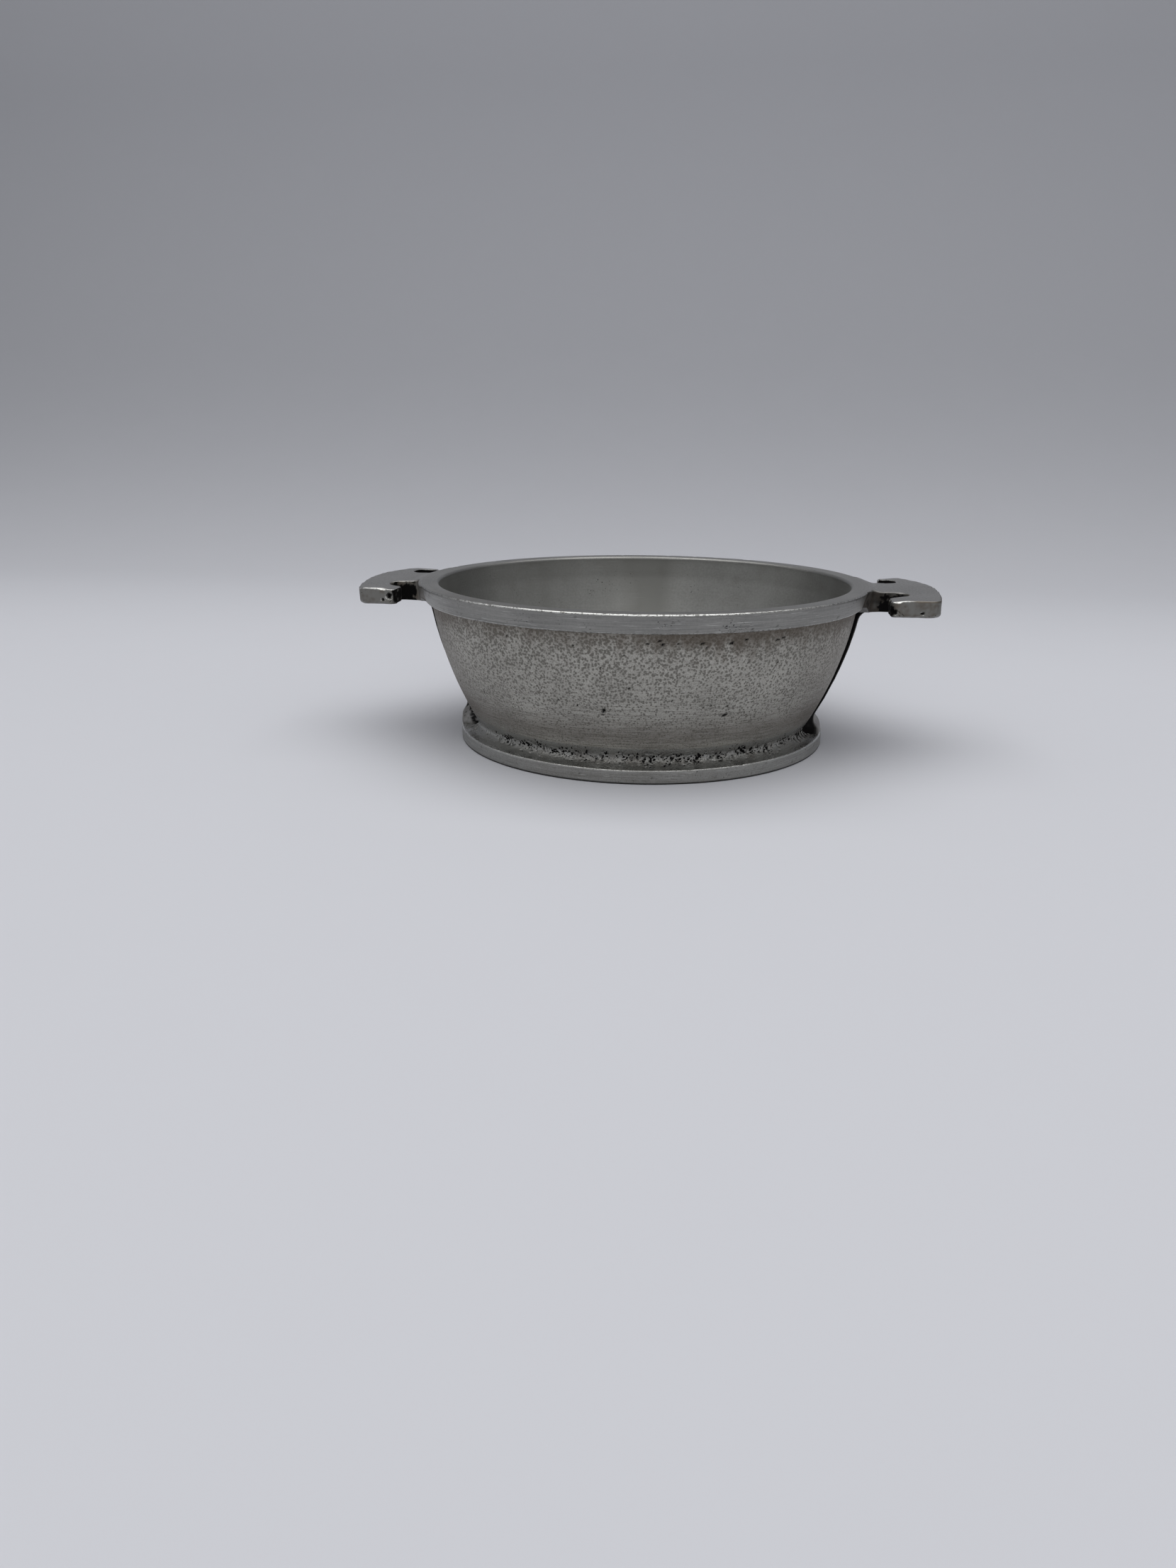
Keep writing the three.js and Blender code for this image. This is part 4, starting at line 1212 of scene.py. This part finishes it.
def handle_marks(points, normals, sizes, side):
    """Ragged black dirt in the pockets, painted shade under the lug, brown film on the sides and the pad, and
    edges with a painted highlight or painted shade.
    """
    right = side == "right"
    across = np.abs(points[:, 1])
    reach = np.abs(points[:, 0])
    up = normals[:, 2]
    behind = points[:, 1] > 0
    neck = sizes.neck_width / 2
    pocket = neck + sizes.pocket_width + np.where(behind, HOOKS[side, "rear"][2], HOOKS[side, "front"][2])
    end = RIM_HIGH.x + sizes.hook_standoff + sizes.pocket_depth

    # The pockets' walls, where dirt thickens away from the rim, low down and behind
    slot = ramp(across, neck - 1.2 * MM, neck - 0.5 * MM) * ramp(across, pocket + 2.2 * MM, pocket + MM)
    slot = slot * ramp(reach, end + 1.2 * MM, end + 0.5 * MM) * ramp(np.abs(up), 0.97, 0.6)
    ragged = noise(points, 2.6 * MM, 73) + 0.7 * noise(points, 1.1 * MM, 74)
    start = RIM_HIGH.x + 0.8 * MM
    deep = ramp(reach, start, start + (4 * MM if right else MM))
    low = ramp(points[:, 2], HANDLE_HIGH.z - 0.6 * MM, HANDLE_HIGH.z - 2.4 * MM)
    rear = ramp(points[:, 1], 0, MM)
    dirt = slot * (deep * (0.45 + 0.55 * np.maximum(low, rear)) + 0.85 * ragged * (1 - 0.6 * rear))
    to_rim = ramp(-normals[:, 0] * np.sign(points[:, 0]), 0.4, 0.75) * ramp(across, pocket - 2 * MM, pocket)
    dirt = np.maximum(dirt, to_rim * (0.75 + 0.7 * ragged) * (1 - rear))
    # Painted shade on the faces that look down, under the lug
    underside_shade = 0.3 + 0.25 * noise(points, 5 * MM, 75) + 0.2 * noise(points, 2 * MM, 47)
    below = ramp(-up, 0.3, 0.8) * underside_shade

    # Streaky film on the pad at the neck's root, which fades out behind, and mottled film on the other sides
    sides = ramp(np.abs(up), 0.6, 0.2)
    pad = ramp(np.hypot(reach, across), RIM_HIGH.x + 2.4 * MM, RIM_HIGH.x + 1.4 * MM)
    root = pad * sides * np.where(behind, ramp(from_handles(points), 18, 11), 1)
    streaks = noise(points * (1, 1, 0.2), 1.3 * MM, 69)
    mottle = 1.1 * noise(points, 3.4 * MM, 76) + 0.8 * noise(points, 1.3 * MM, 67)
    film = (sides * (0.15 + mottle) + 0.4 * slot) * (1 - pad)
    film = film + root * ((0.75 if right else 0.4) + 0.7 * streaks)
    shade = np.zeros(len(points))
    if right:
        shade = np.maximum(slot * (0.62 + 0.5 * noise(points, 2.2 * MM, 60)), root * (0.4 + 0.6 * streaks))

    # The hooks' top edges get a painted highlight where rubbed near the rim, and painted shade that dulls
    # them further out
    edge = ramp(up, 0.05, 0.4) * ramp(up, 0.99, 0.85)
    outer = ramp(reach, BRIGHT_TO[side] - MM, BRIGHT_TO[side] + 2 * MM)
    rubbed_highlight = edge * (1 - outer) * (1 - pad) * ramp(across, neck + 4 * MM, neck + 8 * MM)
    return {
        "grime_and_shade": np.clip(np.maximum(ramp(dirt, 0.5, 0.68), shade) + below, 0, 1),
        "stain_and_shade": np.clip(film + 0.75 * edge * outer, 0, FILM_LIMIT),
        "fleck": np.maximum(sides, edge * outer),
        "speck": 0.7 * noise(points, 6 * MM, 78) + 0.12 * sides,
        "polish_and_highlight": np.clip(rubbed_highlight * (0.85 + 0.8 * noise(points, 4 * MM, 68)), 0, 1),
    }


def handle_surface(sizes, side, turn):
    """The lug as three parts: rings down its worn edge and side, a filled top and a filled underside.

    Every point sinks a little by noise, which makes the casting uneven, and the front hook gets its voids.
    """
    rings, ring_normals = lug_rings(sizes, side, turn)
    rows, count = rings.shape[:2]
    ids = np.arange(rows * count).reshape(rows, count)
    points = [rings.reshape(-1, 3)]
    normals = [ring_normals.reshape(-1, 3)]
    faces = [grid_faces(rows, count, closed=False)[:, ::-1]]
    first = ids.size
    for row, way in ((0, 1), (-1, -1)):
        cap, triangles = filled(rings[row, :, :2], 0.9 * MM)
        inner = cap[count:]
        fall = 0 * inner[:, 0] if way > 0 else lug_thickness(sizes, inner)
        points.append(np.column_stack((inner, -fall)))
        normals.append(np.zeros((len(inner), 3)) + (0, 0, way))
        everything = np.concatenate((ids[row], first + np.arange(len(inner))))
        faces.append(everything[triangles][:, ::way])
        first += len(inner)
    points, normals = np.concatenate(points), np.concatenate(normals)
    points[:, 2] += HANDLE_HIGH.z + lug_lift(points, sizes, turn)
    points[:, :2] *= turn
    normals[:, :2] *= turn

    up = normals[:, 2]
    lumps = np.clip(0.45 + noise(points, 9 * MM, 71) + 0.7 * noise(points, 3.2 * MM, 72), 0, None)
    dents = ramp(up, 0.1, 0.5) * ramp(up, 1, 0.9) * ramp(noise(points, 4.5 * MM, 70), 0.1, 0.5)
    clear = ramp(np.hypot(points[:, 0], points[:, 1]), RIM_HIGH.x + MM, RIM_HIGH.x + 5 * MM)
    sunk = (sizes.lump_depth * lumps * (1 - 0.8 * np.abs(up) ** 3) + sizes.edge_dent * dents) * clear
    marks = handle_marks(points, normals, sizes, side)
    ragged = 0.8 * noise(points, 1.1 * MM, 77)
    front = points[:, 1] < -(sizes.hook_front - 2 * MM)
    for distance, middle, size, deepest in HOOK_VOIDS[side]:
        along = (np.abs(points[:, 0]) - distance) / size + ragged
        rise = (points[:, 2] - middle) / (0.8 * size) + ragged
        hole = np.exp(-(along ** 4 + rise ** 4)) * front
        sunk = sunk + deepest * hole
        marks["grime_and_shade"] = np.maximum(marks["grime_and_shade"], ramp(hole, 0.3, 0.6))
        # A painted highlight round each void's edge
        marks["polish_and_highlight"] = np.maximum(marks["polish_and_highlight"], ramp(hole, 0.02, 0.1) * ramp(hole, 0.4, 0.2))
    return points - normals * sunk[:, None], faces, marks


class POT_OT_handles(Operator):
    """Build the two hooked lug handles"""

    bl_idname = "pot.handles"
    bl_label = "Handles"

    def execute(self, context):
        sizes = context.scene.pot_sizes
        finishes = context.scene.pot_finishes

        # As cast: a pale ground top, dull brown sides, black dirt in the pockets, and painted highlights and
        # painted shade on the edges and underside
        material = aluminium(
            "As-cast aluminium with ground top", finishes, finishes.cast_metal, finishes.cast_dull, 0.4,
            Grain(size=0.9 * MM, depth=0.05 * MM, tone=1.4), specks=Specks(across=0.9 * MM, around=0.9 * MM),
        )
        for side, turn in SIDES:
            points, faces, marks = handle_surface(sizes, side, turn)
            add_piece(
                f"{side}_handle_cast", points, faces, material, [f"{side}_handle"], marks
            )
        return {"FINISHED"}


def strap_face(sizes, side):
    """The strap's middle line: off the foot's edge, up the wall, and out in a fillet under the handle."""
    centre, radius = wall_curve(sizes)
    inset, stand, flare_top = STRAP_TOES[side]
    toe = np.array((sizes.foot_radius - inset - 1.2 * MM, sizes.foot_band_height - 2.8 * MM))
    lip = np.array((sizes.foot_radius - inset, sizes.foot_band_height - 0.4 * MM))
    shelf = np.array((sizes.foot_radius - inset, sizes.foot_band_height + stand))
    fillet_height = HANDLE_LOW.z - sizes.neck_drop + 0.1 * MM - sizes.strap_fillet
    fillet_reach = radius + sizes.strap_proud_top + sizes.strap_fillet
    fillet_radius = centre[0] + math.sqrt(fillet_reach ** 2 - (fillet_height - centre[1]) ** 2)
    lean = math.degrees(math.atan2(fillet_height - centre[1], fillet_radius - centre[0]))
    fillet = arc((fillet_radius, fillet_height), sizes.strap_fillet, lean + 180, 90, 0.4 * MM)

    height = np.linspace(flare_top, fillet[0][1], 120)
    proud = np.interp(height, (flare_top, fillet[0][1]), (sizes.strap_proud_foot, sizes.strap_proud_top))
    reach = centre[0] + np.sqrt((radius + proud) ** 2 - (height - centre[1]) ** 2)
    middle = np.column_stack((reach, height))
    upwards = (middle[1] - middle[0]) / np.linalg.norm(middle[1] - middle[0])
    pull = middle[0] - 0.55 * (flare_top - shelf[1]) * upwards
    t = np.linspace(0, 1, 24)[:, None]
    flare = (1 - t) ** 2 * shelf + 2 * t * (1 - t) * pull + t ** 2 * middle[0]
    return softened(spread(joined([toe, lip], flare, middle, fillet), 0.45 * MM), 3)


def strap_section():
    """The strap's flat-topped section, in shares: places across its half width and lifts off its base."""
    shoulder = np.array(STRAP_SHOULDER)
    flat = np.linspace(-0.93, 0.93, 41)
    across = np.concatenate((shoulder[:, 0], flat, -shoulder[::-1, 0], (0.5, 0, -0.5)))
    lift = np.concatenate((shoulder[:, 1], np.ones(len(flat)), shoulder[::-1, 1], (0, 0, 0)))
    return across, lift


def strap_marks(points, across, lift, side):
    """Dirt with painted shade along the strap's edges, dirt in its pits, and a film; the two ends' middles
    are black and bare.

    Dirt and painted shade cake the right toe's sides. On the left toe's, only cracks run down along its
    joint.
    """
    toe = ramp(points[..., 2], FOOT_HIGH.z + 8 * MM, FOOT_HIGH.z)
    streaks = noise(points * (1, 1, 0.3), 1.6 * MM, 83) + 0.6 * noise(points, 0.9 * MM, 86)
    caked = np.full(len(lift), 2.0) if side == "right" else 0.05 + 0.55 * ramp(lift, 0.45, 0.2)
    edge = np.abs(across) + 0.012 * streaks * toe
    # Painted shade and dirt on the strap's sides
    dirt = ramp(edge, 0.95, 0.995) * ramp(1.4 * (1 - toe) + caked * toe + 1.6 * streaks, 0.35, 0.6)
    pits = ramp(noise(points, 1.5 * MM, 84), 0.45, 0.58)
    film = np.clip(0.3 + 0.5 * noise(points, 8 * MM, 85), 0, 0.6)
    return {
        "grime_and_shade": np.concatenate((np.clip(dirt + 0.8 * pits, 0, 1).ravel(), (1, 1))),
        "stain_and_shade": np.concatenate((film.ravel(), (0, 0))),
    }


def strap_surface(sizes, side, turn):
    """The strap as a closed tube: a flat-topped section of tapering width carried up the strap's face."""
    centre, radius = wall_curve(sizes)
    face = strap_face(sizes, side)
    spoke = face - centre
    base = centre + spoke / np.linalg.norm(spoke, axis=1, keepdims=True) * (radius - STRAP_BURIED)
    across, lift = strap_section()
    section = base[:, None] + lift[None, :, None] * (face - base)[:, None]
    height = section[..., 1]
    flare = ramp(face[:, 1], FOOT_HIGH.z + 8 * MM, FOOT_HIGH.z - MM)[:, None]
    widening, spread_out = TOE_SPREAD[side]
    skirt = spread_out * flare * (1 - lift) ** 1.5 * np.sign(across) * (np.abs(across) > 0.9)
    sideways = across * strap_half_width(height, sizes, widening) + skirt
    points = np.stack((np.sqrt(section[..., 0] ** 2 - sideways ** 2), sideways, height), axis=-1)
    points[..., :2] *= turn

    rough = 0.3 + noise(points, 6 * MM, 81) + 0.5 * noise(points, 2.2 * MM, 82)
    outwards = points * (1, 1, 0) / np.linalg.norm(points[..., :2], axis=-1)[..., None]
    shown = ramp(height, HANDLE_LOW.z, HANDLE_LOW.z - 3 * MM) * ramp(height, 6 * MM, 9 * MM)
    points = points - outwards * (sizes.strap_rough * rough * shown * lift)[..., None]

    ends = np.array((points[0].mean(0), points[-1].mean(0)))
    faces = capped_faces(*points.shape[:2])
    marks = strap_marks(points, across, lift, side)
    return np.concatenate((points.reshape(-1, 3), ends)), faces, marks


class POT_OT_straps(Operator):
    """Build the two straps that run from the handles down to the foot"""

    bl_idname = "pot.straps"
    bl_label = "Straps"

    def execute(self, context):
        sizes = context.scene.pot_sizes
        finishes = context.scene.pot_finishes

        # As cast: a coarse brownish grain, with black dirt and painted shade along the edges
        material = aluminium(
            "As-cast aluminium with grime", finishes, finishes.cast_metal, finishes.cast_dull, 0.45,
            Grain(size=1.1 * MM, depth=0.06 * MM, tone=0.8),
        )
        for side, turn in SIDES:
            points, faces, marks = strap_surface(sizes, side, turn)
            add_piece(
                f"{side}_strap_cast", points, faces, material, [f"{side}_handle_strap"], marks
            )
        return {"FINISHED"}


def sweep_surface():
    """The floor and the wall behind it in one sheet: level, then a quarter circle, then upright."""
    front, bend_start, bend, top, half_width = -2.5, 0.45, 0.5, 1.9, 2.6
    corner = arc((bend_start, bend), bend, -90, 0, 0.02)
    floor = spread([(front, 0), (bend_start, 0)], 0.1)
    upright = spread([corner[-1], (corner[-1][0], top)], 0.1)
    line = joined(floor, corner, upright)
    across = np.linspace(-half_width, half_width, 3)
    x, y = np.meshgrid(across, line[:, 0])
    z = np.broadcast_to(line[:, 1, None], x.shape)
    return np.stack((x, y, z), axis=-1)


def sweep_paper(settings):
    """Matt seamless paper: pale on the floor, with painted shade that greys it up the sweep, and a faint
    fibre mottle.
    """
    material = bpy.data.materials.new("Matt seamless paper")
    material.use_nodes = True
    tree = material.node_tree
    tree.nodes.clear()
    place = shader(tree, "TexCoord").outputs["Object"]
    along = shader(tree, "SeparateXYZ", {0: place}).outputs
    depth = shader(tree, "Math", {0: along["Y"], 1: along["Z"]}, operation="ADD").outputs[0]
    rise = {0: depth, 1: 0.1, 2: 1.1}
    share = shader(tree, "MapRange", rise, interpolation_type="SMOOTHSTEP").outputs[0]
    fibre = shader(tree, "TexNoise", {"Vector": place, "Scale": 1 / (40 * MM), "Detail": 4.0}).outputs["Fac"]
    wash = shader(tree, "MapRange", {0: fibre, 3: -0.015, 4: 0.015}).outputs[0]
    share = shader(tree, "Math", {0: share, 1: wash}, operation="ADD").outputs[0]
    tints = {0: share, 6: settings.floor, 7: settings.shaded_backdrop}
    paint = shader(tree, "Mix", tints, data_type="RGBA").outputs[2]
    matt = {"Base Color": paint, "Roughness": 0.8, "Specular IOR Level": 0.2}
    surface = shader(tree, "BsdfPrincipled", matt)
    shader(tree, "OutputMaterial", {"Surface": surface.outputs[0]})
    return material


class POT_OT_stage(Operator):
    """Build the floor, the soft lights and the camera"""

    bl_idname = "pot.stage"
    bl_label = "Stage"

    def execute(self, context):
        scene = context.scene
        settings = scene.pot_stage
        sheet = sweep_surface()
        rows, columns = sheet.shape[:2]
        ids = np.arange(rows * columns).reshape(rows, columns)
        quads = np.stack((ids[:-1, :-1], ids[:-1, 1:], ids[1:, 1:], ids[1:, :-1]), axis=-1).reshape(-1, 4)
        mesh = bpy.data.meshes.new("studio_sweep")
        mesh.from_pydata(sheet.reshape(-1, 3).tolist(), [], quads.tolist())
        mesh.shade_smooth()
        mesh.materials.append(sweep_paper(settings))
        sweep = bpy.data.objects.new("studio_sweep", mesh)
        scene.collection.objects.link(sweep)

        world = bpy.data.worlds.new("Even studio light")
        world.use_nodes = True
        even = world.node_tree.nodes["Background"].inputs
        even["Color"].default_value = settings.air
        even["Strength"].default_value = settings.fill
        scene.world = world

        # The overhead light shines straight down, the front one from its place towards the pot
        overhead = Matrix.Translation((0, -0.05, 1.4))
        place = Vector((0.12, -1.5, 0.85))
        front = Matrix.Translation(place) @ place.to_track_quat("Z", "Y").to_matrix().to_4x4()
        for name, size, power, stand in (
            ("overhead_softbox", (2.0, 1.5), settings.lamp_power, overhead),
            ("front_softbox", (0.8, 0.6), settings.front_power, front),
        ):
            lamp = bpy.data.lights.new(name, "AREA")
            lamp.shape = "RECTANGLE"
            lamp.size, lamp.size_y = size
            lamp.energy = power
            softbox = bpy.data.objects.new(name, lamp)
            softbox.matrix_world = stand
            scene.collection.objects.link(softbox)

        lens = bpy.data.cameras.new("photo_view")
        lens.sensor_width = SENSOR
        lens.lens = FOCAL_PX / PHOTO_HEIGHT_PX * SENSOR
        lens.clip_start = 0.01
        camera = bpy.data.objects.new("photo_view", lens)
        gaze = (CAMERA_AIM - CAMERA_PLACE).to_track_quat("-Z", "Y").to_matrix().to_4x4()
        camera.matrix_world = Matrix.Translation(CAMERA_PLACE) @ gaze @ Matrix.Rotation(CAMERA_ROLL, 4, "Z")
        scene.collection.objects.link(camera)
        scene.camera = camera
        scene.view_settings.view_transform = "Standard"
        return {"FINISHED"}


OPERATORS = (
    POT_OT_stage,
    POT_OT_rim_band,
    POT_OT_bowl_wall,
    POT_OT_bowl_lining,
    POT_OT_foot_ring,
    POT_OT_handles,
    POT_OT_straps,
)


class POT_PT_panel(Panel):
    """Lists the pot's pieces, sizes and colours"""

    bl_idname = "POT_PT_panel"
    bl_label = "Cooking Pot"
    bl_space_type = "VIEW_3D"
    bl_region_type = "UI"
    bl_category = "Cooking Pot"

    def draw(self, context):
        for operator in OPERATORS:
            self.layout.operator(operator.bl_idname)
        for settings in (context.scene.pot_sizes, context.scene.pot_finishes, context.scene.pot_stage):
            for name in settings.__annotations__:
                self.layout.prop(settings, name)


SETTINGS = {"pot_sizes": PotSizes, "pot_finishes": PotFinishes, "pot_stage": StageSettings}
CLASSES = (*SETTINGS.values(), *OPERATORS, POT_PT_panel)


def register():
    for kind in CLASSES:
        bpy.utils.register_class(kind)
    for name, kind in SETTINGS.items():
        setattr(bpy.types.Scene, name, PointerProperty(type=kind))


def unregister():
    for name in SETTINGS:
        delattr(bpy.types.Scene, name)
    for kind in reversed(CLASSES):
        bpy.utils.unregister_class(kind)


def main():
    """Builds every piece in order."""
    register()
    for operator in OPERATORS:
        group, name = operator.bl_idname.split(".")
        getattr(getattr(bpy.ops, group), name)()


if __name__ == "__main__":
    main()
